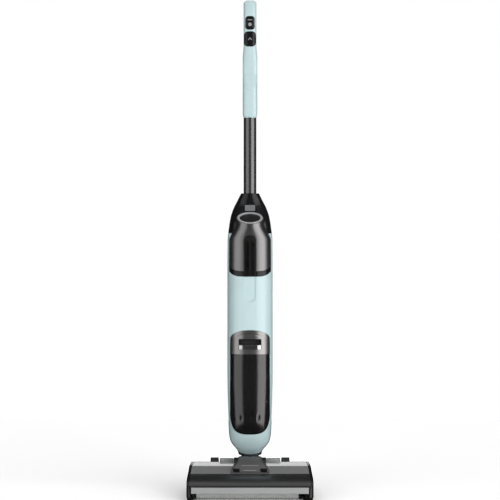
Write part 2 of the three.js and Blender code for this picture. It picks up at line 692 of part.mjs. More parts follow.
// The head's side view, drawn in by an inset and open-ended below the floor.
function headSide(inset) {
  const low = -10;
  const front = FRONT_Y + inset;
  const shape = new THREE.Shape();
  shape.moveTo(front, low);
  shape.lineTo(front, LIP_TOP - inset * 0.4);
  shape.quadraticCurveTo(front + 6, SPLIT_TOP - 5 - inset, COVER_SPLIT_Y, SPLIT_TOP - inset);
  shape.lineTo(SLOPE_TOP_Y, HEAD_TOP - inset);
  shape.lineTo(HEAD_BACK_Y - REAR_ROUND, HEAD_TOP - inset);
  const back = HEAD_BACK_Y - inset;
  shape.quadraticCurveTo(back, HEAD_TOP - inset, back, HEAD_TOP - REAR_ROUND);
  shape.lineTo(back, low);
  return shape;
}

const headForm = (inset, sideInset) =>
  common(
    extrude(headSide(inset), "x", -FAR, FAR),
    extrude(headPlan(sideInset), "z", -20, HEAD_TOP + 10, 5),
  );

// The gap at the back of the head that the neck and body fold into.
const foldGap = block([-HOUSING.inner, PIVOT.y - 26, -FAR], [HOUSING.inner, FAR, FAR]);
const headShell = common(
  cut(headForm(0, CAP_THICK + GAP), headForm(WALL, CAP_THICK + GAP + WALL)),
  above(LIP_TOP + GAP),
);

function brushCover() {
  const skin = common(headShell, before(COVER_SPLIT_Y - GAP / 2));
  const hooks = [-1, 1].map((side) => {
    const x = side * LATCH.x;
    return block([x - 4, COVER_SPLIT_Y - 6, SPLIT_TOP - 5], [x + 4, COVER_SPLIT_Y - GAP, SPLIT_TOP - WALL]);
  });
  return join(skin, ...hooks);
}

function rearCover() {
  const skin = common(headShell, behind(COVER_SPLIT_Y + GAP / 2));
  return cut(skin, foldGap);
}

function frontLip() {
  const inset = CAP_THICK + GAP;
  const plan = extrude(headPlan(inset), "z", LIP_BOTTOM, LIP_TOP, 5);
  const inside = extrude(headPlan(inset + LIP_THICK), "z", 0, FAR, 5).translate([0, LIP_THICK, 0]);
  return cut(common(plan, before(FRONT_Y + HEAD_CORNER)), inside);
}

// One end cap: the slice of the head outside the covers, on the skid that it stands on.
function endCap(side) {
  const ring = cut(headForm(0, 0), extrude(headPlan(CAP_THICK), "z", -FAR, FAR, 5));
  const half = block([side < 0 ? -FAR : 0, -FAR, SKID.height], [side < 0 ? 0 : FAR, FAR, FAR]);
  const skidX = (width) => side * (halfHead - width / 2 - 1);
  const cap = join(common(ring, half), skid(skidX(SKID.width), SKID.width, SKID.height + 2));
  if (side < 0) return cap;
  return join(cap, skid(skidX(DRIVE_FOOT_WIDTH), DRIVE_FOOT_WIDTH, CLEAR_UNDER - GAP));
}

const ROLLER_CORE = ROLLER.radius - ROLLER.nap;
const BEARING = 4; // radius of the roller's end journals
const PLATE = { thick: 3.5, x: halfHead - CAP_THICK - HEAD_TAPER - 7 };
const PARTITION = { y: COVER_SPLIT_Y + 1, thick: 3, top: SPLIT_TOP - 6 };

function baseTray() {
  const half = PLATE.x + PLATE.thick;
  const low = CLEAR_UNDER;
  const floor = block([-half, PARTITION.y - PARTITION.thick, low], [half, HEAD_BACK_Y - 4, low + 3]);
  const wall = block([-half, PARTITION.y - PARTITION.thick, low], [half, PARTITION.y, PARTITION.top]);
  const side = common(
    extrude(headSide(WALL + GAP + 0.5), "x", PLATE.x, half),
    above(low),
    behind(FRONT_Y + 9),
    before(HEAD_BACK_Y - 4),
  );
  const plates = [side, side.mirror([1, 0, 0])];
  const bearings = bar("x", BEARING + GAP, -FAR, FAR, [ROLLER.y, ROLLER_Z], SMALL_ROUND);
  const wallSpan = [PARTITION.y - PARTITION.thick - 1, PARTITION.y + 1];
  const mouth = block(
    [-DUCT.width / 2 + 3, wallSpan[0], DUCT.bottom + 3],
    [DUCT.width / 2 - 3, wallSpan[1], DUCT.bottom + DUCT.height - 3],
  );
  const beltSlot = block(
    [beltX - BELT.width / 2 - 2, wallSpan[0], low + 4],
    [PLATE.x, wallSpan[1], PARTITION.top - 4],
  );
  return cut(join(floor, wall, ...plates), bearings, foldGap, mouth, beltSlot);
}

// A skid, flat on the floor, its nose and tail raised.
function skid(x, width, top) {
  const { length, height, ahead } = SKID;
  const y = COVER_SPLIT_Y - ahead;
  const side = polygon([
    [y - length / 2, top],
    [y - length / 2, height * 0.6],
    [y - length / 2 + 5, 0],
    [y + length / 2 - 5, 0],
    [y + length / 2, height * 0.6],
    [y + length / 2, top],
  ]);
  return extrude(side, "x", x - width / 2, x + width / 2);
}

const beltX = BELT.x;
const rollerLeft = ROLLER.left;
const rollerRight = beltX - BELT.width / 2 - RUN;
const pulleyZ = BELT.z;

// The roller's soft sleeve round its core, drawn round the roller's own axis.
const rollerNap = () =>
  cut(
    bar("x", ROLLER.radius, rollerLeft, rollerRight, [0, 0]),
    bar("x", ROLLER_CORE + GAP, rollerLeft - 1, rollerRight + 1, [0, 0]),
  );
function rollerCore() {
  const core = bar("x", ROLLER_CORE, rollerLeft, rollerRight, [0, 0]);
  const leftPin = bar("x", BEARING, -PLATE.x - PLATE.thick, rollerLeft + 1, [0, 0], SMALL_ROUND);
  const rightPin = bar("x", BEARING, rollerRight - 1, PLATE.x + PLATE.thick, [0, 0], SMALL_ROUND);
  const pulley = bar("x", BELT.driveRadius, beltX - BELT.width / 2, beltX + BELT.width / 2, [0, 0], SMALL_ROUND);
  return join(core, leftPin, rightPin, pulley);
}

// The motor's pulley and its rotor on one shaft.
function motorPulley() {
  const { width, driverRadius } = BELT;
  const { length, wall, rotor } = BRUSH_MOTOR;
  const face = -width / 2 - RUN;
  const wheel = bar("x", driverRadius, -width / 2, width / 2, [0, 0], SMALL_ROUND);
  const shaft = bar("x", 2.5, face - 2 * wall - 1, -width / 2 + 1, [0, 0], SMALL_ROUND);
  return join(wheel, shaft, bar("x", rotor, face - length + 2 * wall, face - 2 * wall, [0, 0]));
}

// The brush motor's can, hollow for the rotor, with a hole for the shaft.
function brushMotor() {
  const { radius, length, wall } = BRUSH_MOTOR;
  const right = beltX - BELT.width / 2 - RUN;
  const axis = [BELT.y, pulleyZ];
  const can = bar("x", radius, right - length, right, axis);
  const room = bar("x", radius - wall, right - length + wall, right - wall, axis);
  return cut(can, room, bar("x", 2.5 + RUN, right - wall - 1, right + 1, axis, SMALL_ROUND));
}

// The outline of a band stretched round two pulleys, that stands off them by a distance.
function beltOutline(offset) {
  const big = { y: ROLLER.y, z: ROLLER_Z, r: BELT.driveRadius + offset };
  const small = { y: BELT.y, z: pulleyZ, r: BELT.driverRadius + offset };
  const angle = Math.atan2(small.z - big.z, small.y - big.y);
  const lean = Math.acos((big.r - small.r) / Math.hypot(small.y - big.y, small.z - big.z));
  const shape = new THREE.Shape();
  shape.absarc(big.y, big.z, big.r, angle + lean, angle - lean + 2 * Math.PI);
  shape.absarc(small.y, small.z, small.r, angle - lean, angle + lean);
  return shape;
}
function driveBelt() {
  const span = [beltX - BELT.width / 2, beltX + BELT.width / 2];
  const outerBand = extrude(beltOutline(GAP + BELT.thick), "x", ...span);
  return cut(outerBand, extrude(beltOutline(GAP), "x", span[0] - 1, span[1] + 1));
}

const innerHalf = PLATE.x - 2 * RUN;
const scraper = () =>
  block(
    [-innerHalf, PARTITION.y - PARTITION.thick - SCRAPER.depth, ROLLER_Z + 3],
    [rollerRight, PARTITION.y - PARTITION.thick - GAP, ROLLER_Z + 3 + SCRAPER.thick],
  );
const sprayBar = () => bar("x", 2.2, -innerHalf, rollerRight, [COVER_SPLIT_Y - 8, SPLIT_TOP - 12], SMALL_ROUND);
const squeegee = () => block([-innerHalf, PARTITION.y - 4, 1], [innerHalf, PARTITION.y - 1, CLEAR_UNDER - GAP]);

function suctionDuct() {
  const { width, height, bottom } = DUCT;
  const start = PARTITION.y + GAP;
  const end = PIVOT.y - 26 - GAP;
  const tube = block([-width / 2, start, bottom], [width / 2, end, bottom + height]);
  const bore = block(
    [-width / 2 + THIN_WALL, start - 1, bottom + THIN_WALL],
    [width / 2 - THIN_WALL, end + 1, bottom + height - THIN_WALL],
  );
  return cut(tube, bore);
}

// A pale housing beside the neck: it holds a pivot pin under the rear cover, and behind the cover
// it rises again and carries a wheel on an arm.
function wheelHousing(side) {
  const { inner: near, outer: far, top, back } = HOUSING;
  const start = PIVOT.y - 22;
  const low = CLEAR_UNDER + 3 + GAP;
  const covered = common(
    headForm(WALL + GAP, 0),
    block([near + GAP, start, low], [far, HEAD_BACK_Y, HEAD_TOP]),
  );
  const profile = new THREE.Shape();
  profile.moveTo(HEAD_BACK_Y + GAP, low);
  profile.lineTo(back, low);
  profile.quadraticCurveTo(back + 6, top - 4, HEAD_BACK_Y + 12, top);
  profile.lineTo(HEAD_BACK_Y + GAP, top);
  const rear = extrude(profile, "x", near + GAP, far);
  const bridge = block([near + GAP, start, low], [far, back, LIP_TOP]);
  const box = join(covered, rear, bridge);
  const armBack = WHEEL.y + 10;
  const arm = block([near + 14, back - 12, WHEEL.radius - 12], [far, armBack, WHEEL.radius + 12]);
  const pinBore = bar("x", PIVOT.pin + GAP, 0, near + 16, [PIVOT.y, PIVOT.z], SMALL_ROUND);
  const right = join(cut(join(box, arm), pinBore), stubAxle());
  return side > 0 ? right : right.mirror([1, 0, 0]);
}

const tyre = () =>
  cut(
    bar("x", WHEEL.radius, -WHEEL.width / 2, WHEEL.width / 2, [0, 0], 40),
    bar("x", WHEEL.radius - WHEEL.tyre, -WHEEL.width, WHEEL.width, [0, 0], 40),
  );
function hub() {
  const rim = bar("x", WHEEL.radius - WHEEL.tyre - GAP, -WHEEL.width / 2 + 1, WHEEL.width / 2 - 1, [0, 0]);
  return cut(rim, bar("x", WHEEL.axle + GAP, -WHEEL.width, WHEEL.width, [0, 0], SMALL_ROUND));
}

// The wheel's stub axle, with the cap that keeps the wheel on.
function stubAxle() {
  const place = [WHEEL.y, WHEEL.radius];
  const face = WHEEL.x + WHEEL.width / 2;
  const shaft = bar("x", WHEEL.axle, HOUSING.outer - 4, face + RUN, place, SMALL_ROUND);
  return join(shaft, bar("x", WHEEL.axle + 3, face + GAP, face + 3, place, SMALL_ROUND));
}

// The hump in front of the neck, with pockets for the two cover latches.
function hump() {
  const { base, top, height, back, shoulder, notch } = HUMP;
  const crown = SPLIT_TOP + height;
  const side = new THREE.Shape();
  side.moveTo(COVER_SPLIT_Y + RUN, SPLIT_TOP - 4);
  side.lineTo(COVER_SPLIT_Y + RUN, SPLIT_TOP + 4);
  side.quadraticCurveTo(COVER_SPLIT_Y + 20, crown - 4, back - 14, crown);
  side.lineTo(back, crown - 3);
  side.lineTo(back, SPLIT_TOP - 4);
  const front = new THREE.Shape();
  front.moveTo(-base / 2, SPLIT_TOP - 4);
  front.lineTo(base / 2, SPLIT_TOP - 4);
  front.lineTo(base / 2, SPLIT_TOP + 4);
  front.lineTo(top / 2, crown - shoulder);
  front.quadraticCurveTo(top / 2 - 1, crown, top / 2 - shoulder, crown);
  front.lineTo(shoulder - top / 2, crown);
  front.quadraticCurveTo(1 - top / 2, crown, -top / 2, crown - shoulder);
  front.lineTo(-base / 2, SPLIT_TOP + 4);
  const whole = common(extrude(side, "x", -base, base), extrude(front, "y", COVER_SPLIT_Y, back + 1, 4));
  const slot = block([-notch / 2, back - 16, crown - shoulder], [notch / 2, back + 5, crown + 5]);
  return cut(whole, headForm(-GAP, 0), slot, latchRoom(-1), latchRoom(1));
}

const LATCH_Y = COVER_SPLIT_Y + 1;
const LATCH_Z = SPLIT_TOP + 6.5;
const latchRoom = (side) =>
  block(
    [side * LATCH.x - LATCH.width / 2 - GAP, LATCH_Y - 10, LATCH_Z - LATCH.height / 2 - GAP],
    [
      side * LATCH.x + LATCH.width / 2 + GAP,
      LATCH_Y + LATCH.depth + LATCH.travel + GAP,
      LATCH_Z + LATCH.height / 2 + GAP,
    ],
  );
const latchButton = () =>
  block([-LATCH.width / 2, 0, -LATCH.height / 2], [LATCH.width / 2, LATCH.depth, LATCH.height / 2]);

// ---- Neck -------------------------------------------------------------------------------------

// The yoke, round its pivot: a drum across the fold gap and a round collar up into the body.
function yoke() {
  const half = HOUSING.inner - RUN;
  const drum = bar("x", PIVOT.drum, -half, half, [0, 0]);
  const collar = bar("z", COLLAR_RADIUS, 0, SOCKET.top - PIVOT.z - 6, [0, 0]);
  const bore = bar("z", COLLAR_RADIUS - 4, 0, SOCKET.top, [0, 0]);
  const window = block([-18, -FAR, -14], [18, 0, 8]);
  const pins = bar("x", PIVOT.pin + GAP, -FAR, FAR, [0, 0], SMALL_ROUND);
  const pinHoles = cut(pins, block([-20, -FAR, -FAR], [20, FAR, FAR]));
  return cut(join(drum, collar), bore, common(window, before(2)), pinHoles);
}

const pivotPin = () => bar("x", PIVOT.pin, HOUSING.inner - 14, HOUSING.inner + 14, [0, 0], SMALL_ROUND);

// A ribbed hose inside the collar, from the drum's chamber up to the body.
function neckHose() {
  const ribs = 6;
  const length = SOCKET.top - PIVOT.z - 4;
  const outside = steps(0, length, 2 * ribs).map((z, i) => [COLLAR_RADIUS - 5.5 - (i % 2) * 1.6, z]);
  const bore = COLLAR_RADIUS - 10;
  const profile = [[bore, 0], ...outside, [bore, length], [bore, 0]];
  return turned(profile, SMALL_ROUND);
}

// The socket under the bowl that turns on the collar when the machine is steered.
function neckSocket() {
  const { radius, bottom, top } = SOCKET;
  const bore = COLLAR_RADIUS + RUN;
  const profile = [
    [bore, 0],
    [radius - 1.5, 0],
    [radius, 1.5],
    [radius, top - bottom],
    [bore, top - bottom],
    [bore, 0],
  ];
  return turned(profile);
}

// ---- Pole and handle --------------------------------------------------------------------------

const poleBottom = POLE_FOOT - POLE.inserted;
function pole() {
  const top = HANDLE_FOOT + POLE.inHandle;
  const bore = bar("z", POLE.radius - POLE.wall, poleBottom - 1, top + 1, [0, 0], 24);
  return cut(bar("z", POLE.radius, poleBottom, top, [0, 0]), bore);
}

// Handle heights are counted down from its top.
const handleTop = (drop) => HANDLE_TOP - drop;
const handleHalfWidth = through([
  [HANDLE_FOOT, POLE.radius - 1.5],
  [HANDLE_FOOT + 3, HANDLE.width / 2 - 1.5],
  [HANDLE_FOOT + 9, HANDLE.width / 2],
  [handleTop(130), HANDLE.width / 2],
  [handleTop(102), HANDLE.topWidth / 2],
  [handleTop(7), HANDLE.topWidth / 2],
  [handleTop(2), HANDLE.topWidth / 2 - 3],
  [HANDLE_TOP, HANDLE.topWidth / 2 - 7],
]);
const handleFront = through([
  [HANDLE_FOOT, POLE.y - POLE.radius],
  [HANDLE_FOOT + 6, POLE.y - HANDLE.depth / 2 + 1],
  [HANDLE_FOOT + 60, POLE.y - HANDLE.depth / 2],
  [handleTop(184), POLE.y - HANDLE.depth / 2 + HANDLE.recess * 0.45],
  [handleTop(162), POLE.y - HANDLE.depth / 2 + HANDLE.recess],
  [handleTop(150), POLE.y - HANDLE.depth / 2 + HANDLE.recess],
  [handleTop(128), POLE.y - HANDLE.depth / 2 + HANDLE.recess * 0.35],
  [handleTop(106), POLE.y - HANDLE.depth / 2 - 2],
  [handleTop(96), POLE.y - HANDLE.depth / 2 - 3],
  [handleTop(30), POLE.y - HANDLE.depth / 2 - 1],
  [handleTop(8), POLE.y - HANDLE.depth / 2 + 2],
  [HANDLE_TOP, POLE.y - 8],
]);
const handleBack = through([
  [HANDLE_FOOT, POLE.y + POLE.radius],
  [HANDLE_FOOT + 6, POLE.y + HANDLE.depth / 2 - 1],
  [HANDLE_FOOT + 40, POLE.y + HANDLE.depth / 2],
  [handleTop(130), POLE.y + HANDLE.depth / 2 - 3],
  [handleTop(40), POLE.y + HANDLE.depth / 2 - 4],
  [handleTop(8), POLE.y + HANDLE.depth / 2 - 8],
  [HANDLE_TOP, POLE.y + 5],
]);
const handleForm = column({
  levels: [
    ...[0, 3, 9, 40, 60].map((rise) => HANDLE_FOOT + rise),
    ...[184, 172, 162, 150, 139, 128, 117, 106, 100, 92, 60, 30, 12, 7, 4, 2, 0].map(handleTop),
  ],
  halfWidth: handleHalfWidth,
  front: handleFront,
  back: handleBack,
  power: 3.4,
  facets: 32,
});

// A button's outline at a place down the handle's front, and the pocket it moves in.
const topButtonZ = handleTop(TOP_BUTTON.fromTop);
const bezelZ = handleTop(BEZEL.fromTop);
const faceY = POLE.y - HANDLE.depth / 2;
const topButtonOutline = (inset) =>
  roundedRectangle(TOP_BUTTON.width - 2 * inset, TOP_BUTTON.height - 2 * inset, 7 - inset, [0, topButtonZ]);
const bezelOutline = (inset) =>
  roundedRectangle(BEZEL.size - 2 * inset, BEZEL.height - 2 * inset, 9 - inset, [0, bezelZ]);
const modeOutline = (inset) =>
  roundedRectangle(BEZEL.button - 2 * inset, BEZEL.button - 2 * inset, 5 - inset, [0, bezelZ]);
const PANEL_DEPTH = 5;
const handlePocket = (outline, depth) => extrude(outline, "y", faceY - 20, faceY + depth, 4);

const panelPockets = join(
  handlePocket(topButtonOutline(0), PANEL_DEPTH + TOP_BUTTON.travel),
  handlePocket(bezelOutline(0), PANEL_DEPTH),
);
const poleSocket = bar("z", POLE.radius + GAP, HANDLE_FOOT - 5, HANDLE_FOOT + POLE.inHandle + GAP, [0, POLE.y]);
const handleHalf = (keep) => cut(common(handleForm, keep), poleSocket, panelPockets);

const topButton = () => common(handleForm, handlePocket(topButtonOutline(GAP), PANEL_DEPTH - GAP));
function buttonBezel() {
  const pad = common(handleForm, handlePocket(bezelOutline(GAP), PANEL_DEPTH - GAP));
  return cut(pad, handlePocket(modeOutline(0), PANEL_DEPTH + 1));
}
const modeButton = () => common(handleForm, handlePocket(modeOutline(GAP), PANEL_DEPTH - GAP - BEZEL.travel));

// ---- Assembly ---------------------------------------------------------------------------------

const scrubber = new THREE.Group();
const at = (...place) => {
  const group = new THREE.Group();
  group.position.set(...place);
  scrubber.add(group);
  return group;
};
const SIDES = { left: -1, right: 1 };

const floorHead = at(0, 0, 0);
floorHead.add(
  piece("base_tray", baseTray(), BLACK_MATT),
  piece("rear_top_cover", rearCover(), GREY),
  piece("brush_cover", brushCover(), BLACK_GLOSS),
  piece("front_lip", frontLip(), PALE_GREY),
  piece("neck_hump", hump(), GUNMETAL),
  piece("suction_duct", suctionDuct(), BLACK_MATT),
  piece("scraper_blade", scraper(), RUBBER),
  piece("rear_squeegee", squeegee(), RUBBER),
  piece("water_spray_bar", sprayBar(), GREY),
  piece("brush_motor", brushMotor(), STEEL),
  piece("motor_pulley", motorPulley(), STEEL, [beltX, BELT.y, pulleyZ]),
  piece("drive_belt", driveBelt(), RUBBER),
  piece("roller_core", rollerCore(), GREY, [0, ROLLER.y, ROLLER_Z]),
  piece("roller_nap", rollerNap(), NAP, [0, ROLLER.y, ROLLER_Z]),
);

for (const [name, side] of Object.entries(SIDES)) {
  const pin = side > 0 ? pivotPin() : pivotPin().mirror([1, 0, 0]);
  floorHead.add(
    piece(`end_cap_${name}`, endCap(side), BLACK_GLOSS),
    piece(`wheel_housing_${name}`, wheelHousing(side), PALE_GREY),
    piece(`tyre_${name}`, tyre(), RUBBER, [side * WHEEL.x, WHEEL.y, WHEEL.radius]),
    piece(`hub_${name}`, hub(), GREY, [side * WHEEL.x, WHEEL.y, WHEEL.radius]),
    piece(`pivot_pin_${name}`, pin, STEEL, [0, PIVOT.y, PIVOT.z]),
    piece(`cover_latch_${name}`, latchButton(), BLACK_GLOSS, [side * LATCH.x, LATCH_Y, LATCH_Z]),
  );
}

const neck = at(0, PIVOT.y, PIVOT.z);
neck.add(piece("recline_yoke", yoke(), BLACK_MATT), piece("neck_hose", neckHose(), RUBBER));

const mainBody = at(0, 0, 0);
mainBody.add(
  piece("neck_socket", neckSocket(), BLACK_MATT, [0, PIVOT.y, SOCKET.bottom]),
  piece("front_shell", frontShell(), MINT),
  piece("rear_shell", rearShell(), MINT),
  piece("trim_band", trimBand(), BLACK_GLOSS),
  piece("upper_cover", upperCover(), GUNMETAL),
  piece("centre_stripe", centreStripe(), GUNMETAL),
  piece("top_collar", topCollar(), BLACK_GLOSS),
  piece("display_ring", ringSlab(disc(RING.radius, RING.radius - RING.thick), GAP - RING.depth, 0.6), SILVER),
  piece("display_lens", ringSlab(disc(RING.radius - RING.thick - GAP), GAP - RING.depth, -1.5), BLACK_GLOSS),
  piece("pole_release", releaseButton(), GREY, [0, releaseFront, RELEASE_Z]),
  piece("inner_frame", innerFrame(), BLACK_MATT),
  piece("suction_motor", suctionMotor(), STEEL, [0, MOTOR.y, MOTOR.foot]),
  piece("battery_pack", batteryPack(), BLACK_MATT),
  piece("water_pump", waterPump(), GREY, [0, PUMP.y, PUMP.z]),
  piece("control_board", controlBoard(), BOARD_GREEN),
  piece("exhaust_grille", exhaustGrille(), BLACK_MATT),
  piece("charging_contacts", common(shell, backOpening(CONTACTS, GAP)), BRASS),
);

const tanks = at(0, 0, 0);
tanks.add(
  piece("dirty_tank", dirtyTank(), SMOKE),
  piece("dirty_tank_lid", tankLid(), SILVER),
  piece("dirty_tank_lever", tankLever(), CHROME),
  piece("dirty_tank_filter", tankFilter(), PALE_GREY),
  piece("tank_standpipe", standpipe(), BLACK_MATT, [0, STANDPIPE.y, TANK_FLOOR + STANDPIPE.clear]),
  piece(
    "tank_float",
    toSolid(new THREE.SphereGeometry(FLOAT.radius, 16, 10)),
    PALE_GREY,
    [FLOAT.x, STANDPIPE.y, LID_FOOT - FLOAT.below],
  ),
  piece("clean_tank", cleanTank(), SMOKE),
  piece("clean_tank_cap", cleanCap(), GREY, [0, CAP.y, cleanTop - CAP.height - GAP]),
  piece("clean_tank_latch", cleanLatch(), GREY),
);

const wand = at(0, 0, 0);
wand.add(
  piece("pole", pole(), POLE_METAL, [0, POLE.y, 0]),
  piece("handle_front", handleHalf(before(POLE.y - GAP / 2)), MINT),
  piece("handle_back", handleHalf(behind(POLE.y + GAP / 2)), MINT),
  piece("top_button", topButton(), BLACK_GLOSS),
  piece("button_bezel", buttonBezel(), BLACK_GLOSS),
  piece("mode_button", modeButton(), BLACK_GLOSS),
);

export default scrubber;
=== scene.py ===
# %% [markdown]
# # An upright wet dry floor scrubber
#
# The machine is a wide washing head on rear wheels, a slim mint body with a smoked tank in its
# front, a thin metal pole and a narrow handle. The imported model gives every part's place and size.
# Here each part that shows gets a finer mesh and a finish of its own. We start by loading the
# frame.

# %% Load the frame
import json
import math

import bmesh
import bpy
from mathutils import Matrix, Vector
from mathutils.bvhtree import BVHTree


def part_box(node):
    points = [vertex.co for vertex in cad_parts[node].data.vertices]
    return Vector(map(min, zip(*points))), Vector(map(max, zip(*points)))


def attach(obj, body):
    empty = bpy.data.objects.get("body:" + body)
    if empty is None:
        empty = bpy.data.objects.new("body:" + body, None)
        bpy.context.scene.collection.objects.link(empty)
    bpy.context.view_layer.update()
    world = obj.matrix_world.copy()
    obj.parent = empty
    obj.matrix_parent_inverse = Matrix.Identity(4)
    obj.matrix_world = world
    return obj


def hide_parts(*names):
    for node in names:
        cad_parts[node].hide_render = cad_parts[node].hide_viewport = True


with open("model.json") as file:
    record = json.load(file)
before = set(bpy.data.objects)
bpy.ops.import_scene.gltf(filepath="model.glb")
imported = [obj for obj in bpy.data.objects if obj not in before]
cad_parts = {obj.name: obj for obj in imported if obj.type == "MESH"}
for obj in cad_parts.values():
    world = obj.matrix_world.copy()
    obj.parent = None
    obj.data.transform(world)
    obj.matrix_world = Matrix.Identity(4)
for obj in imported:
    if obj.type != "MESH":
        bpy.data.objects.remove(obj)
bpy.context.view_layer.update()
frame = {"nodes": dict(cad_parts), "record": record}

record = frame["record"]
BODY_OF = {node: body for body, nodes in record["behaviour"]["bodies"].items() for node in nodes}
SLOT_OF = {row["node"]: row["material_slot"] for row in record["subparts"]}

# %% [markdown]
# ## The studio
#
# A product like this is shown on plain white, between two tall soft boxes. Each glossy surface
# then carries one soft streak on either side of a dark middle. We could light it with a picture of
# a studio, but a few large area lights do the same and stay simple. The two soft boxes and the
# glows make the streaks. The fills are left out of every reflection and only lift the shadows.
# The world is white to the eye and dim to everything else, so that it washes nothing out.

# %% Camera, lights and floor
MM = 0.001
CAMERA_DISTANCE = 3.6
CAMERA_HEIGHT = 0.540
VIEW_HEIGHT = 1.115
SENSOR = 36.0
WORLD_GLOW = 0.02


def look_at(obj, place, target):
    obj.location = place
    obj.rotation_mode = "QUATERNION"
    obj.rotation_quaternion = (Vector(target) - Vector(place)).to_track_quat("-Z", "Y")


def add_camera():
    data = bpy.data.cameras.new("camera")
    data.sensor_width = SENSOR
    data.lens = SENSOR * CAMERA_DISTANCE / VIEW_HEIGHT
    camera = bpy.data.objects.new("camera", data)
    bpy.context.scene.collection.objects.link(camera)
    look_at(camera, (0, -CAMERA_DISTANCE, CAMERA_HEIGHT), (0, 0, CAMERA_HEIGHT))
    bpy.context.scene.camera = camera


def add_light(name, place, target, width, height, watts, in_gloss=True):
    data = bpy.data.lights.new(name, "AREA")
    data.shape = "RECTANGLE"
    data.size, data.size_y = width, height
    data.energy = watts
    light = bpy.data.objects.new(name, data)
    bpy.context.scene.collection.objects.link(light)
    look_at(light, place, target)
    light.visible_glossy = in_gloss
    light.visible_camera = False


def white_world():
    world = bpy.data.worlds.new("studio")
    bpy.context.scene.world = world
    world.use_nodes = True
    nodes, links = world.node_tree.nodes, world.node_tree.links
    nodes.clear()
    seen = nodes.new("ShaderNodeBackground")
    seen.inputs["Color"].default_value = (1, 1, 1, 1)
    dim = nodes.new("ShaderNodeBackground")
    dim.inputs["Color"].default_value = (1, 1, 1, 1)
    dim.inputs["Strength"].default_value = WORLD_GLOW
    path = nodes.new("ShaderNodeLightPath")
    mix = nodes.new("ShaderNodeMixShader")
    output = nodes.new("ShaderNodeOutputWorld")
    links.new(path.outputs["Is Camera Ray"], mix.inputs["Fac"])
    links.new(dim.outputs["Background"], mix.inputs[1])
    links.new(seen.outputs["Background"], mix.inputs[2])
    links.new(mix.outputs["Shader"], output.inputs["Surface"])


middle = (0, 0, 0.5)
add_camera()
white_world()
add_light("right_softbox", (1.45, -1.15, 0.6), middle, 1.9, 2.4, 38)
add_light("left_softbox", (-1.45, -1.15, 0.6), middle, 1.9, 2.4, 19)
add_light("overhead", (0, -0.2, 2.4), (0, 0, 0), 2.4, 2.4, 20)
add_light("front_fill", (0.4, -3.2, 1.3), middle, 2.5, 2.0, 12.5, in_gloss=False)
add_light("front_glow", (0, -3.0, 0.8), middle, 2.1, 2.4, 0.7)
add_light("back_glow", (0, 3.2, 0.5), (0, 0, 0.06), 1.0, 0.6, 2.4)
add_light("floor_glow", (0, -1.4, 0.02), (0, 0, 0.25), 1.6, 0.5, 4.5, in_gloss=False)
add_light("back_fill", (0, 3.2, 1.3), middle, 2.5, 2.0, 30, in_gloss=False)
bpy.context.scene.view_settings.view_transform = "Standard"

# %% [markdown]
# ## Writing shaders as sums
#
# Node graphs are hard to read in code. A `Wire` stands for one output of a node, and adding or
# multiplying wires makes the Math nodes, so a formula reads like a formula. A `Finish` is one
# material: its `node` method makes any other node, and `shader` sets the sockets of its Principled
# shader. Even finishes are plain numbers there, and only what changes over a surface is a wire.

# %% Wire and Finish
class Wire:
    """One output of a node; arithmetic on it adds Math nodes."""

    def __init__(self, finish, socket):
        self.finish, self.socket = finish, socket

    def math(self, operation, first, second):
        return self.finish.node("ShaderNodeMath", {"operation": operation}, {0: first, 1: second})

    def __add__(self, other):
        return self.math("ADD", self, other)

    def __mul__(self, other):
        return self.math("MULTIPLY", self, other)


class Finish:
    """A procedural material round one Principled shader."""

    def __init__(self, name, colour, **numbers):
        self.material = bpy.data.materials.new(name)
        self.material.use_nodes = True
        self.tree = self.material.node_tree
        self.tree.nodes.clear()
        self.principled = self.tree.nodes.new("ShaderNodeBsdfPrincipled")
        self.output = self.tree.nodes.new("ShaderNodeOutputMaterial")
        self.tree.links.new(self.principled.outputs["BSDF"], self.output.inputs["Surface"])
        self.shader(Base_Color=colour, **numbers)

    def set(self, socket, value):
        if isinstance(value, Wire):
            self.tree.links.new(value.socket, socket)
        elif isinstance(value, tuple) and len(value) == 3 and socket.type == "RGBA":
            socket.default_value = (*value, 1)
        else:
            socket.default_value = value

    def node(self, kind, settings={}, inputs={}, output=0):
        made = self.tree.nodes.new(kind)
        for key, value in settings.items():
            setattr(made, key, value)
        for key, value in inputs.items():
            self.set(made.inputs[key], value)
        return Wire(self, made.outputs[output])

    def shader(self, **sockets):
        for name, value in sockets.items():
            self.set(self.principled.inputs[name.replace("_", " ")], value)

    def place(self):
        return self.node("ShaderNodeTexCoord", output="Object")

    def noise(self, scale, detail=2.0, vector=None, roughness=0.5):
        where = self.place() if vector is None else vector
        inputs = {"Vector": where, "Scale": scale, "Detail": detail, "Roughness": roughness}
        return self.node("ShaderNodeTexNoise", {}, inputs, output="Fac")

    def stretched(self, scale):
        return self.node("ShaderNodeMapping", {}, {"Vector": self.place(), "Scale": scale})

    def mix(self, factor, first, second):
        settings = {"data_type": "RGBA"}
        return self.node("ShaderNodeMix", settings, {0: factor, 6: first, 7: second}, output=2)

    def bump(self, height, depth):
        inputs = {"Height": height, "Distance": depth, "Strength": 1.0}
        self.shader(Normal=self.node("ShaderNodeBump", {}, inputs))


def tint(colour, factor):
    return tuple(min(1.0, part * factor) for part in colour)

# %% [markdown]
# ## Finishes
#
# Moulded plastic is never one flat colour: it has a faint cloudiness, a fine texture from the
# mould and smears that change its gloss. Each finish below starts from its base colour and adds
# small amounts of that with noise. Metals get lines along the way they were drawn or brushed.

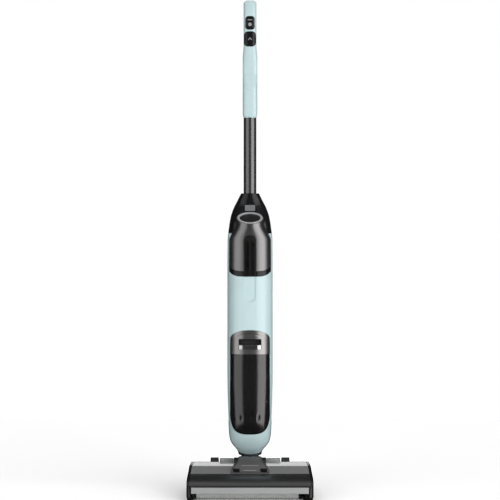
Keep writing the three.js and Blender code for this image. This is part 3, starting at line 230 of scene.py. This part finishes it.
# %% Plastics
def moulded(name, colour, roughness, grain=0.00002, grain_scale=1400, **numbers):
    """A moulded plastic: cloudy colour, smears in the gloss and a fine mould texture."""
    finish = Finish(name, colour, **numbers)
    cloud = finish.noise(9, 3)
    finish.shader(
        Base_Color=finish.mix(cloud, tint(colour, 0.96), tint(colour, 1.05)),
        Roughness=finish.noise(23, 4) * (roughness * 0.3) + roughness * 0.85,
    )
    finish.bump(finish.noise(grain_scale, 2), grain)
    return finish


def metallic_lacquer(name, colour, roughness, flake=0.16, **numbers):
    """Plastic lacquered with metal flakes, each a little lighter or darker than the next."""
    finish = Finish(name, colour, **numbers)
    flakes = finish.noise(2600, 1)
    finish.shader(
        Base_Color=finish.mix(flakes, tint(colour, 1 - flake), tint(colour, 1 + flake)),
        Roughness=finish.noise(31, 3) * (roughness * 0.25) + roughness * 0.87,
    )
    finish.bump(flakes, 0.000006)
    return finish


def drawn_metal(name, colour, roughness, along=(1, 1, 0.03), **numbers):
    """Metal with fine lines along one way, from drawing or brushing."""
    finish = Finish(name, colour, Metallic=1.0, **numbers)
    lines = finish.noise(1500, 3, vector=finish.stretched(along))
    finish.shader(
        Base_Color=finish.mix(lines, tint(colour, 0.9), tint(colour, 1.1)),
        Roughness=lines * (roughness * 0.4) + roughness * 0.8,
    )
    finish.bump(lines, 0.000004)
    return finish


FINISHES = {
    "mint": moulded("mint plastic", (0.53, 0.68, 0.70), 0.33, Coat_Weight=0.25, Coat_Roughness=0.2),
    "black_gloss": moulded(
        "black gloss", (0.008, 0.008, 0.009), 0.2, 0.000001, Specular_IOR_Level=0.3
    ),
    "black_matt": moulded("black matt", (0.014, 0.014, 0.015), 0.5, 0.00003),
    "gunmetal": metallic_lacquer("gunmetal", (0.2, 0.195, 0.195), 0.33, 0.05, Metallic=0.95),
    "silver": metallic_lacquer("silver lacquer", (0.27, 0.265, 0.26), 0.33, 0.05, Metallic=0.95),
    "grey_metallic": metallic_lacquer(
        "grey metallic", (0.33, 0.33, 0.33), 0.3, 0.05, Metallic=0.3, Coat_Weight=0.4
    ),
    "chrome": drawn_metal("bright plating", (0.5, 0.5, 0.51), 0.12, (0.03, 1, 1)),
    "steel": drawn_metal("turned steel", (0.55, 0.55, 0.56), 0.25, (0.05, 1, 1)),
    "pole_metal": moulded("dark pole", (0.022, 0.022, 0.023), 0.24, 0.000001, IOR=2.0),
    "brass": drawn_metal("plated contacts", (0.72, 0.5, 0.22), 0.2, (0.03, 1, 1)),
    "grey_plastic": moulded("grey plastic", (0.19, 0.195, 0.2), 0.38),
    "pale_grey": moulded("pale grey plastic", (0.35, 0.355, 0.355), 0.4),
    "board": moulded("board green", (0.02, 0.11, 0.045), 0.45),
    "cover_black": moulded("satin black cover", (0.02, 0.02, 0.02), 0.32, 0.00001),
    # The stripe's lacquer is darker than the gunmetal: painted shade for its shallow recess.
    "stripe_painted_shade": metallic_lacquer("stripe lacquer with painted shade", (0.07, 0.068, 0.067), 0.33, 0.05, Metallic=0.95),
    "hump_grey": metallic_lacquer("hump grey", (0.085, 0.082, 0.082), 0.42, 0.05, Metallic=0.3),
    "mark_grey": moulded("printed grey", (0.3, 0.3, 0.31), 0.5),
    "ring_silver": moulded("pale silver ring", (0.48, 0.48, 0.48), 0.3, 0.000004, Metallic=0.2),
}

# %% [markdown]
# Three finishes need more. The smoked tank is clear plastic with a dark dye: a low alpha lets the
# pipe inside show faintly, while the coat keeps the streaks of the soft boxes sharp. The roller's
# nap is short microfibre, so its colour and height follow a fine noise. Rubber is matt and dusty.

# %% Smoked plastic, nap and rubber
def smoked_plastic():
    colour = (0.006, 0.006, 0.006)
    finish = Finish("smoked plastic", colour, Coat_Weight=0.6, Coat_Roughness=0.14, IOR=1.6)
    haze = finish.noise(14, 3)
    finish.shader(
        Base_Color=finish.mix(haze, colour, tint(colour, 1.5)),
        Roughness=haze * 0.06 + 0.17,
        Alpha=haze * 0.05 + 0.85,
    )
    finish.bump(finish.noise(60, 2), 0.00002)
    return finish


def microfibre():
    colour = (0.46, 0.46, 0.45)
    finish = Finish("microfibre nap", colour, Sheen_Weight=0.4, Sheen_Roughness=0.6)
    fibres = finish.noise(900, 6, roughness=0.75)
    tufts = finish.noise(190, 3)
    finish.shader(
        Base_Color=finish.mix(fibres * 0.6 + tufts * 0.4, tint(colour, 0.5), tint(colour, 1.5)),
        Roughness=fibres * 0.1 + 0.85,
    )
    finish.bump(fibres + tufts, 0.0012)
    return finish


def dusty_rubber():
    colour = (0.018, 0.018, 0.019)
    finish = Finish("rubber", colour)
    dust = finish.noise(40, 5)
    finish.shader(
        Base_Color=finish.mix(dust, colour, tint(colour, 2.2)),
        Roughness=dust * 0.2 + 0.62,
    )
    finish.bump(finish.noise(700, 3), 0.00006)
    return finish


FINISHES["smoke"] = smoked_plastic()
FINISHES["nap"] = microfibre()
FINISHES["rubber"] = dusty_rubber()
for node, obj in frame["nodes"].items():
    obj.data.materials.clear()
    obj.data.materials.append(FINISHES[SLOT_OF[node]].material)
print(len(FINISHES), "finishes")

# %% [markdown]
# ## Sizes taken from the frame
#
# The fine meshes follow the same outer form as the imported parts. That form is a column whose
# section is a squared ellipse: its half width, front and back change with height. We read the
# heights from the parts' boxes, and repeat the form's few widths and depths here.

# %% Heights and sections
def low(node):
    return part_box(node)[0]


def high(node):
    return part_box(node)[1]


GAP = 0.35 * MM
WALL = 2.6 * MM
FOOT = low("front_shell").z
SHELL_TOP = high("rear_shell").z + WALL
POLE_FOOT = high("top_collar").z
TANK_FLOOR = low("dirty_tank").z - GAP
TANK_TOP = high("dirty_tank_lid").z + GAP
BODY_FRONT = low("front_shell").y
BODY_BACK = high("rear_shell").y
BODY_Y = (BODY_FRONT + BODY_BACK) / 2
HALF_BODY = high("front_shell").x
POLE_Y = (low("pole").y + high("pole").y) / 2
POLE_RADIUS = (high("pole").x - low("pole").x) / 2
PIVOT_Y = (low("neck_socket").y + high("neck_socket").y) / 2
BOWL_END = 24.8 * MM
BODY_POWER = 2.6
print("Body from", round(FOOT, 3), "to", round(POLE_FOOT, 3), "m")


def clamp(value, lowest=0.0, highest=1.0):
    return min(max(value, lowest), highest)


def smoothstep(value, start, end):
    t = clamp((value - start) / (end - start))
    return t * t * (3 - 2 * t)


def lerp(first, second, t):
    return first + (second - first) * t


def through(pairs):
    """A smooth value that passes through [place, value] pairs without overshooting them."""
    def slope(i):
        return (pairs[i + 1][1] - pairs[i][1]) / (pairs[i + 1][0] - pairs[i][0])

    def tangent(i):
        if i == 0 or i == len(pairs) - 1:
            return slope(0 if i == 0 else i - 1)
        before, after = slope(i - 1), slope(i)
        return 0 if before * after <= 0 else 2 * before * after / (before + after)

    def value(place):
        i = next((k for k in range(len(pairs) - 1) if place <= pairs[k + 1][0]), len(pairs) - 2)
        span, rise = pairs[i + 1][0] - pairs[i][0], pairs[i + 1][1] - pairs[i][1]
        t = clamp((place - pairs[i][0]) / span)
        early, late = tangent(i) * span - rise, tangent(i + 1) * span - rise
        return pairs[i][1] + rise * t + t * (1 - t) * ((1 - t) * early - t * late)

    return value


body_half = through([
    (FOOT, BOWL_END),
    (FOOT + 6 * MM, BOWL_END + 1 * MM),
    (FOOT + 13 * MM, HALF_BODY - 20.8 * MM),
    (FOOT + 22 * MM, HALF_BODY - 13 * MM),
    (FOOT + 32 * MM, HALF_BODY - 7.3 * MM),
    (FOOT + 42 * MM, HALF_BODY - 5 * MM),
    (FOOT + 54 * MM, HALF_BODY - 3.8 * MM),
    (FOOT + 72 * MM, HALF_BODY - 3 * MM),
    (FOOT + 188 * MM, HALF_BODY),
    (SHELL_TOP - 80 * MM, HALF_BODY),
    (SHELL_TOP - 18 * MM, HALF_BODY - 0.5 * MM),
    (SHELL_TOP + 9 * MM, HALF_BODY - 3 * MM),
    (SHELL_TOP + 36 * MM, HALF_BODY - 7.5 * MM),
    (SHELL_TOP + 55 * MM, HALF_BODY - 14 * MM),
    (SHELL_TOP + 72 * MM, POLE_RADIUS + 14 * MM),
    (POLE_FOOT, POLE_RADIUS + 6 * MM),
])
body_front = through([
    (FOOT, PIVOT_Y - BOWL_END),
    (FOOT + 18 * MM, lerp(BODY_FRONT, PIVOT_Y - BOWL_END, 0.55)),
    (FOOT + 47 * MM, lerp(BODY_FRONT, PIVOT_Y - BOWL_END, 0.17)),
    (FOOT + 90 * MM, BODY_FRONT),
    (SHELL_TOP, BODY_FRONT),
])
body_back = through([
    (FOOT, PIVOT_Y + BOWL_END),
    (FOOT + 18 * MM, lerp(BODY_BACK, PIVOT_Y + BOWL_END, 0.5)),
    (FOOT + 60 * MM, BODY_BACK),
    (SHELL_TOP - 30 * MM, BODY_BACK),
    (SHELL_TOP + 45 * MM, BODY_BACK - 8 * MM),
    (POLE_FOOT, POLE_Y + POLE_RADIUS + 5 * MM),
])

# %% [markdown]
# ## The outer forms
#
# A `Form` holds such a column and answers three questions: how far out a point lies, where its
# front is, and what the form looks like a little smaller. There are four of them. The body is the
# plain column. The hood over its top front narrows to the display ring, the collar behind it
# narrows to the pole, and the handle has a scoop for the fingers under its buttons.

# %% Body, hood, collar and handle
class Form:
    """A column whose section is a squared ellipse that changes with height."""

    def __init__(self, half, front, back, power):
        self.half, self.front, self.back, self.power = half, front, back, power

    def middle(self, z):
        return (self.front(z) + self.back(z)) / 2

    def reach(self, x, y, z):
        """1 on the surface, less inside it and more outside it."""
        depth = (self.back(z) - self.front(z)) / 2
        across = abs(x) / self.half(z)
        along = abs(y - self.middle(z)) / depth
        return (across ** self.power(z) + along ** self.power(z)) ** (1 / self.power(z))

    def size(self, z):
        return min(self.half(z), (self.back(z) - self.front(z)) / 2)

    def drawn_in(self, inset):
        return Form(
            lambda z: self.half(z) - inset,
            lambda z: self.front(z) + inset,
            lambda z: self.back(z) - inset,
            self.power,
        )

    def front_at(self, x, z):
        """Where the front of the form is, at a distance from the middle and a height."""
        power = self.power(z)
        depth = (1 - clamp(abs(x) / self.half(z)) ** power) ** (1 / power)
        return self.middle(z) - (self.middle(z) - self.front(z)) * depth


RING_TILT = math.radians(27)
ring_low, ring_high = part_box("display_ring")
RING_RADIUS = (ring_high.x - ring_low.x) / 2
RING_Y = 9 * MM
RING_Z = POLE_FOOT - 56 * MM
RING_SEAT = 2 * MM
ring_depth = RING_RADIUS * math.cos(RING_TILT)
ring_rise = RING_RADIUS * math.sin(RING_TILT)
hood_shoulder = SHELL_TOP - 18 * MM
hood_neck = RING_Z - ring_rise + 2 * MM


def hood_blend(z):
    return smoothstep(z, hood_shoulder, hood_neck)


collar_front = through([
    (SHELL_TOP - 30 * MM, RING_Y + 4 * MM),
    (RING_Z - 12 * MM, RING_Y + 14 * MM),
    (RING_Z + ring_rise, RING_Y + ring_depth),
    (POLE_FOOT - 24 * MM, POLE_Y - 22 * MM),
    (POLE_FOOT, POLE_Y - POLE_RADIUS - 5 * MM),
])
HANDLE_POWER = 3.4
HANDLE_FOOT = low("handle_front").z
HANDLE_TOP = high("handle_front").z
handle_half = high("handle_front").x
handle_middle = POLE_Y - 18 * MM
handle_rear = POLE_Y + 18 * MM


def from_top(drop):
    return HANDLE_TOP - drop * MM


handle_width = through([
    (HANDLE_FOOT, POLE_RADIUS - 1.5 * MM),
    (HANDLE_FOOT + 3 * MM, handle_half - 1.5 * MM),
    (HANDLE_FOOT + 9 * MM, handle_half),
    (from_top(130), handle_half),
    (from_top(102), handle_half - 2 * MM),
    (from_top(7), handle_half - 2 * MM),
    (from_top(2), handle_half - 5 * MM),
    (HANDLE_TOP, handle_half - 9 * MM),
])
handle_front_line = through([
    (HANDLE_FOOT, POLE_Y - POLE_RADIUS),
    (HANDLE_FOOT + 6 * MM, handle_middle + 1 * MM),
    (HANDLE_FOOT + 60 * MM, handle_middle),
    (from_top(184), handle_middle + 5.4 * MM),
    (from_top(162), handle_middle + 12 * MM),
    (from_top(150), handle_middle + 12 * MM),
    (from_top(128), handle_middle + 4.2 * MM),
    (from_top(106), handle_middle - 2 * MM),
    (from_top(96), handle_middle - 3 * MM),
    (from_top(30), handle_middle - 1 * MM),
    (from_top(8), handle_middle + 2 * MM),
    (HANDLE_TOP, POLE_Y - 8 * MM),
])
handle_back_line = through([
    (HANDLE_FOOT, POLE_Y + POLE_RADIUS),
    (HANDLE_FOOT + 6 * MM, handle_rear - 1 * MM),
    (HANDLE_FOOT + 40 * MM, handle_rear),
    (from_top(130), handle_rear - 3 * MM),
    (from_top(40), handle_rear - 4 * MM),
    (from_top(8), handle_rear - 8 * MM),
    (HANDLE_TOP, POLE_Y + 5 * MM),
])
BODY = Form(body_half, body_front, body_back, lambda z: BODY_POWER)
HOOD = Form(
    lambda z: lerp(body_half(z), RING_RADIUS + RING_SEAT, hood_blend(z)),
    lambda z: lerp(BODY_FRONT, RING_Y - ring_depth - RING_SEAT, hood_blend(z)),
    lambda z: lerp(BODY_BACK, RING_Y + ring_depth + RING_SEAT, hood_blend(z)),
    lambda z: lerp(BODY_POWER, 2, hood_blend(z)),
)
COLLAR = Form(
    body_half,
    collar_front,
    body_back,
    lambda z: lerp(BODY_POWER, 2, (z - SHELL_TOP) / (POLE_FOOT - SHELL_TOP)),
)
HANDLE = Form(handle_width, handle_front_line, handle_back_line, lambda z: HANDLE_POWER)

# %% [markdown]
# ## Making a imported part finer
#
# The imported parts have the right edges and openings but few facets. We could model each again
# from nothing, and then every opening would have to be fitted again. It is surer to start from
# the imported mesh: merge it, drop the seams between flat triangles, cut it into a fine lattice of
# level and upright planes, and press the vertices near the outside onto the true curve. A small
# bevel then rounds every real edge, so that the joints between parts catch the light.

# %% Helpers for finer parts
MERGED = 0.002 * MM
ON_PLANE = 0.0002 * MM
FLAT = math.radians(1.2)


def form_of(node):
    """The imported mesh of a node, merged and freed of the seams inside its flat faces."""
    form = bmesh.new()
    form.from_mesh(frame["nodes"][node].data)
    bmesh.ops.remove_doubles(form, verts=form.verts, dist=MERGED)
    bmesh.ops.dissolve_limit(form, angle_limit=FLAT, verts=form.verts, edges=form.edges)
    return form


def slice_form(form, origins, normal):
    """Cut all of a mesh along planes with one normal."""
    for origin in origins:
        everything = form.verts[:] + form.edges[:] + form.faces[:]
        bmesh.ops.bisect_plane(
            form, geom=everything, dist=ON_PLANE, plane_co=origin, plane_no=normal
        )


def lattice(form, rows, spokes, axis):
    """Cut a mesh by level planes and by upright planes that meet in one axis."""
    lowest = min(vert.co.z for vert in form.verts)
    highest = max(vert.co.z for vert in form.verts)
    levels = [lerp(lowest, highest, (i + 0.5) / rows) for i in range(rows)]
    slice_form(form, [(0, 0, z) for z in levels], (0, 0, 1))
    for spoke in range(spokes):
        angle = math.pi * (spoke + 0.5) / spokes
        slice_form(form, [axis], (math.cos(angle), math.sin(angle), 0))


def press(form, shape, within):
    """Move each vertex near the outside straight out, or in, onto the true curve."""
    for vert in form.verts:
        x, y, z = vert.co
        reach = shape.reach(x, y, z)
        if abs(reach - 1) * shape.size(z) < within:
            middle = shape.middle(z)
            vert.co.x = x / reach
            vert.co.y = middle + (y - middle) / reach


def engrave(form, line, depth, width):
    """Press a soft groove into the front along a line, given as a height for each x."""
    for vert in form.verts:
        off = abs(vert.co.z - line(vert.co.x)) / width
        if off < 1 and vert.co.y < BODY_Y - 10 * MM:
            vert.co.y += depth * (1 - off * off) ** 2


def add_piece(name, form, finish, body, *nodes, slot=None, bevel=0.4, angle=32, segments=2):
    """Turn a mesh into a visible piece that moves with a body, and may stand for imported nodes."""
    bmesh.ops.recalc_face_normals(form, faces=form.faces)
    mesh = bpy.data.meshes.new(name)
    form.to_mesh(mesh)
    form.free()
    mesh.shade_smooth()
    mesh.set_sharp_from_angle(angle=math.radians(angle))
    mesh.materials.append(FINISHES[finish].material)
    piece = bpy.data.objects.new(name, mesh)
    bpy.context.scene.collection.objects.link(piece)
    if bevel:
        rounding = piece.modifiers.new("rounding", "BEVEL")
        rounding.width = bevel * MM
        rounding.segments = segments
        rounding.limit_method = "ANGLE"
        rounding.angle_limit = math.radians(angle)
    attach(piece, body)
    if nodes:
        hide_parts(*nodes)
    return piece


def finer(
    node, shape=None, rows=0, spokes=24, axis=None, within=0.9, finish=None, work=None, **rounding
):
    """A finer stand-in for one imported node, pressed to a form and then worked on."""
    form = form_of(node)
    if shape:
        centre = axis or (0, BODY_Y, 0)
        lattice(form, rows, spokes, centre)
        press(form, shape, within * MM)
    if work:
        work(form)
    faces = len(form.faces)
    look = finish or SLOT_OF[node]
    piece = add_piece(node + "_fine", form, look, BODY_OF[node], node, **rounding)
    print(f"{piece.name}: {faces} faces")
    return piece

# %% [markdown]
# ## The body's shells and tanks
#
# The mint shells, the smoked tank, its lid and the covers above all follow the body's own curve.
# The display housing follows the hood, and its stripe lies a little lower in it, with its lacquer
# painted darker as shade for that recess. Two shallow arcs are pressed into the finished meshes:
# one over the tank and one in its lid.

# %% Shells, tanks and covers
SLOT_TOP = TANK_TOP - 20.4 * MM
SHELL_ARC = 11
LID_ARC = 8


def shell_crease(form):
    """A shallow arc above the tank."""
    engrave(form, lambda x: TANK_TOP + 7 * MM - SHELL_ARC * x * x, 0.35 * MM, 2.2 * MM)


def lid_crease(form):
    """A thin arc over the finger slot, outside its corners."""
    engrave(form, lambda x: SLOT_TOP + 11.5 * MM - LID_ARC * x * x, 0.7 * MM, 1.3 * MM)


finer("front_shell", BODY, rows=150, spokes=30, work=shell_crease)
finer("rear_shell", BODY, rows=100, spokes=24)
finer("dirty_tank", BODY, rows=44, spokes=30)
finer("dirty_tank_lid", BODY, rows=60, spokes=36, work=lid_crease)
finer("dirty_tank_lever", BODY, rows=2, spokes=30)
finer("clean_tank", BODY, rows=50, spokes=24)
finer("clean_tank_latch", BODY, rows=3, spokes=24)
finer("exhaust_grille", BODY, rows=8, spokes=24)
finer("trim_band", BODY, rows=4, spokes=30)
finer("upper_cover", HOOD, rows=34, spokes=36)
stripe_form = HOOD.drawn_in(0.9 * MM)
# The stripe's darker lacquer is painted shade for the recess it lies in.
finer("centre_stripe", stripe_form, 24, 40, within=1.7, finish="stripe_painted_shade", bevel=0.3)
finer("top_collar", COLLAR, rows=28, spokes=30)

# %% [markdown]
# The lid's finger slot is lined with black. The liner is a shallow tray: a rounded plate at the
# slot's back, and a wall drawn out of its edge to just behind the lid's curved front. The wall
# stops above the lower corners, because the lever rises there. A black boot hides the joint of
# the bowl and the neck, and its higher sides are painted shade for the dark corners under the
# bowl. A small mark on the tank shows how full it may be.

# %% Slot liner, neck boot and level mark
LINER_CORNER = 4.5 * MM
LINER_WIDTH = 50 * MM
LINER_BACK = BODY_FRONT + 15.5 * MM
SHEET = 0.5 * MM


def rounded_plate(width, height, corner, y, z):
    """A flat rounded rectangle that faces the front."""
    form = bmesh.new()
    bmesh.ops.create_grid(form, x_segments=1, y_segments=1, size=0.5)
    bmesh.ops.scale(form, vec=(width, height, 1), verts=form.verts)
    upright = Matrix.Rotation(math.radians(90), 3, "X")
    bmesh.ops.rotate(form, matrix=upright, verts=form.verts)
    bmesh.ops.translate(form, vec=(0, y, z), verts=form.verts)
    bmesh.ops.bevel(
        form,
        geom=form.verts[:],
        affect="VERTICES",
        offset=corner,
        segments=5,
        profile=0.5,
        material=-1,
    )
    return form


def thickened(form):
    """Give an open sheet a wall."""
    bmesh.ops.recalc_face_normals(form, faces=form.faces)
    bmesh.ops.solidify(form, geom=form.faces[:], thickness=SHEET)
    return form


def slot_liner():
    foot = high("dirty_tank_lever").z + 0.5 * MM
    height = SLOT_TOP - foot
    form = rounded_plate(LINER_WIDTH, height, LINER_CORNER, LINER_BACK, (SLOT_TOP + foot) / 2)
    clear_of_lever = foot + LINER_CORNER - 0.01 * MM
    walled = [
        edge for edge in form.edges
        if edge.is_boundary and min(vert.co.z for vert in edge.verts) > clear_of_lever
    ]
    rim = bmesh.ops.extrude_edge_only(form, edges=walled)
    for vert in rim["geom"]:
        if isinstance(vert, bmesh.types.BMVert):
            vert.co.y = BODY.front_at(vert.co.x, vert.co.z) + 0.6 * MM
    body = BODY_OF["dirty_tank_lid"]
    add_piece("slot_liner", thickened(form), "black_matt", body, bevel=0)
    print("slot_liner is", round(height / MM, 1), "mm high")


def neck_boot_and_painted_shade():
    """A black boot round the bowl's foot, lower in the middle; its higher sides are painted shade.
    """
    around = BODY.drawn_in(-0.6 * MM)
    foot = FOOT + 0.5 * MM
    form = bmesh.new()
    bmesh.ops.create_cone(
        form, cap_ends=False, segments=96, radius1=BOWL_END, radius2=BOWL_END, depth=1
    )
    upright = [edge for edge in form.edges if abs(edge.verts[0].co.z - edge.verts[1].co.z) > 0.5]
    bmesh.ops.subdivide_edges(form, edges=upright, cuts=5)
    for vert in form.verts:
        share = vert.co.z + 0.5
        side = (vert.co.x / BOWL_END) ** 2
        # The sides rise 7 mm above the middle as painted shade for the dark corners under the bowl.
        vert.co.z = lerp(foot, foot + 1.5 * MM + 7 * MM * side, share)
        vert.co.y += PIVOT_Y
        reach = around.reach(*vert.co)
        centre = around.middle(vert.co.z)
        vert.co.x /= reach
        vert.co.y = centre + (vert.co.y - centre) / reach
    body = BODY_OF["front_shell"]
    add_piece("neck_boot_and_painted_shade", thickened(form), "black_matt", body, bevel=0)


def laid_bar(name, sides, heights, front, proud, thick, finish, body, slot, bevel):
    """A bar laid on a front that is given as a function of place and height."""
    form = bmesh.new()
    bmesh.ops.create_cube(form, size=1)
    size = (sides[1] - sides[0], thick, heights[1] - heights[0])
    middle = ((sides[0] + sides[1]) / 2, 0, (heights[0] + heights[1]) / 2)
    bmesh.ops.scale(form, vec=size, verts=form.verts)
    bmesh.ops.translate(form, vec=middle, verts=form.verts)
    for vert in form.verts:
        near = front(vert.co.x, vert.co.z) - proud
        vert.co.y = near if vert.co.y < 0 else near + thick
    add_piece(name, form, finish, body, slot=slot, bevel=bevel)


def level_mark():
    sides = (35.5 * MM, 40 * MM)
    heights = (TANK_FLOOR + 72 * MM, TANK_FLOOR + 73 * MM)
    body = BODY_OF["dirty_tank"]
    proud, thick = 0.1 * MM, 0.4 * MM
    front = BODY.front_at
    laid_bar("level_mark", sides, heights, front, proud, thick, "mark_grey", body, "pale_grey", 0.2)


slot_liner()
neck_boot_and_painted_shade()
level_mark()

# %% [markdown]
# ## The handle and the rest
#
# The handle is made the same way as the body. Parts that are flat or turned keep their packed
# shape, and get rounded edges and smooth shading only.

# %% Handle, and parts that only need rounding
handle_axis = (0, POLE_Y, 0)
finer("handle_front", HANDLE, rows=90, spokes=20, axis=handle_axis)
finer("handle_back", HANDLE, rows=70, spokes=20, axis=handle_axis)
finer("button_bezel", HANDLE, rows=9, spokes=20, axis=handle_axis)
finer("top_button", HANDLE, rows=9, spokes=20, axis=handle_axis)
finer("mode_button", HANDLE, rows=6, spokes=20, axis=handle_axis)
for node in [
    "pole", "pole_release", "display_lens", "neck_socket", "recline_yoke", "rear_top_cover",
    "front_lip", "end_cap_left", "end_cap_right", "wheel_housing_left", "wheel_housing_right",
    "tyre_left", "tyre_right", "hub_left", "hub_right", "cover_latch_left", "cover_latch_right",
    "base_tray", "roller_nap", "roller_core", "tank_standpipe", "tank_float",
]:
    finer(node)
finer("display_ring", finish="ring_silver")
finer("brush_cover", finish="cover_black")
finer("neck_hump", finish="hump_grey", bevel=0.9)

# %% [markdown]
# The two buttons carry generic signs: a bar over a round dot on the upper one, for power, and an
# arrowhead on the lower one, for the mode. They are thin plates a hair proud of the buttons.

# %% Signs on the buttons
SIGN_PROUD = 0.18 * MM
SIGN_THICK = 0.25 * MM
DOT_RADIUS = 4
DOT_DROP = 3.5


def sign_plate(name, outline, button):
    """A flat sign, from points in millimetres about a button's middle, laid on its front."""
    form = bmesh.new()
    middle_z = (low(button).z + high(button).z) / 2
    corners = [form.verts.new((x * MM, 0, middle_z + z * MM)) for x, z in outline]
    form.faces.new(corners)
    bmesh.ops.triangulate(form, faces=form.faces)
    for vert in form.verts:
        vert.co.y = HANDLE.front_at(vert.co.x, vert.co.z) - SIGN_PROUD
    bmesh.ops.recalc_face_normals(form, faces=form.faces)
    bmesh.ops.solidify(form, geom=form.faces[:], thickness=SIGN_THICK)
    add_piece(name, form, "mark_grey", BODY_OF[button], slot="pale_grey", bevel=0)


turns = [math.radians(angle) for angle in range(0, 360, 20)]
dot = [(DOT_RADIUS * math.cos(turn), DOT_RADIUS * math.sin(turn) - DOT_DROP) for turn in turns]
arrow = [(-5, -2.5), (-3, -2.5), (0, 0.8), (3, -2.5), (5, -2.5), (0, 3.4)]
sign_plate("power_bar", [(-5, 6), (5, 6), (5, 8), (-5, 8)], "top_button")
sign_plate("power_dot", dot, "top_button")
sign_plate("mode_arrow", arrow, "mode_button")

# %% [markdown]
# The hump between the latches has a raised bar, and a thin ridge across it higher up. Both are
# bars laid against the hump's sloping front, which a ray finds for us.

# %% Bars on the hump
HUMP_TOP = high("neck_hump").z


def hump_front(x, z):
    """The hump's front, found by a ray a little nearer its middle, where it is steady."""
    tree = BVHTree.FromBMesh(form_of("neck_hump"))
    return tree.ray_cast(Vector((0.8 * x, -1, z)), Vector((0, 1, 0)))[0].y


def hump_bar(name, half, drop, height):
    """A bar across the hump, with its foot a drop below the hump's top."""
    heights = (HUMP_TOP - drop, HUMP_TOP - drop + height)
    body = BODY_OF["neck_hump"]
    proud, thick = 1 * MM, 1.6 * MM
    sides = (-half, half)
    laid_bar(
        name, sides, heights, hump_front, proud, thick, "grey_plastic", body, "black_matt", 0.3
    )


hump_bar("hump_ridge", 19 * MM, 16 * MM, 1.6 * MM)
hump_bar("hump_bar", 14 * MM, 25.5 * MM, 1.5 * MM)

# %% [markdown]
# ## Floor and finish
#
# The floor catches only the soft shadow under the head, and lets the white behind it through. It
# belongs to the studio and not to the machine.

# %% Floor
FLOOR_SIZE = 1.5


def studio_floor():
    mesh = bpy.data.meshes.new("floor")
    form = bmesh.new()
    bmesh.ops.create_grid(form, x_segments=1, y_segments=1, size=FLOOR_SIZE)
    form.to_mesh(mesh)
    form.free()
    floor = bpy.data.objects.new("floor", mesh)
    floor.is_shadow_catcher = True
    floor.visible_glossy = False
    bpy.context.scene.collection.objects.link(floor)
    finish = Finish("studio white", (0.93, 0.93, 0.93))
    speckle = finish.noise(30, 3)
    finish.shader(
        Base_Color=finish.mix(speckle, (0.92, 0.92, 0.92), (0.94, 0.94, 0.94)),
        Roughness=speckle * 0.1 + 0.75,
    )
    finish.bump(speckle, 0.00005)
    mesh.materials.append(finish.material)


studio_floor()
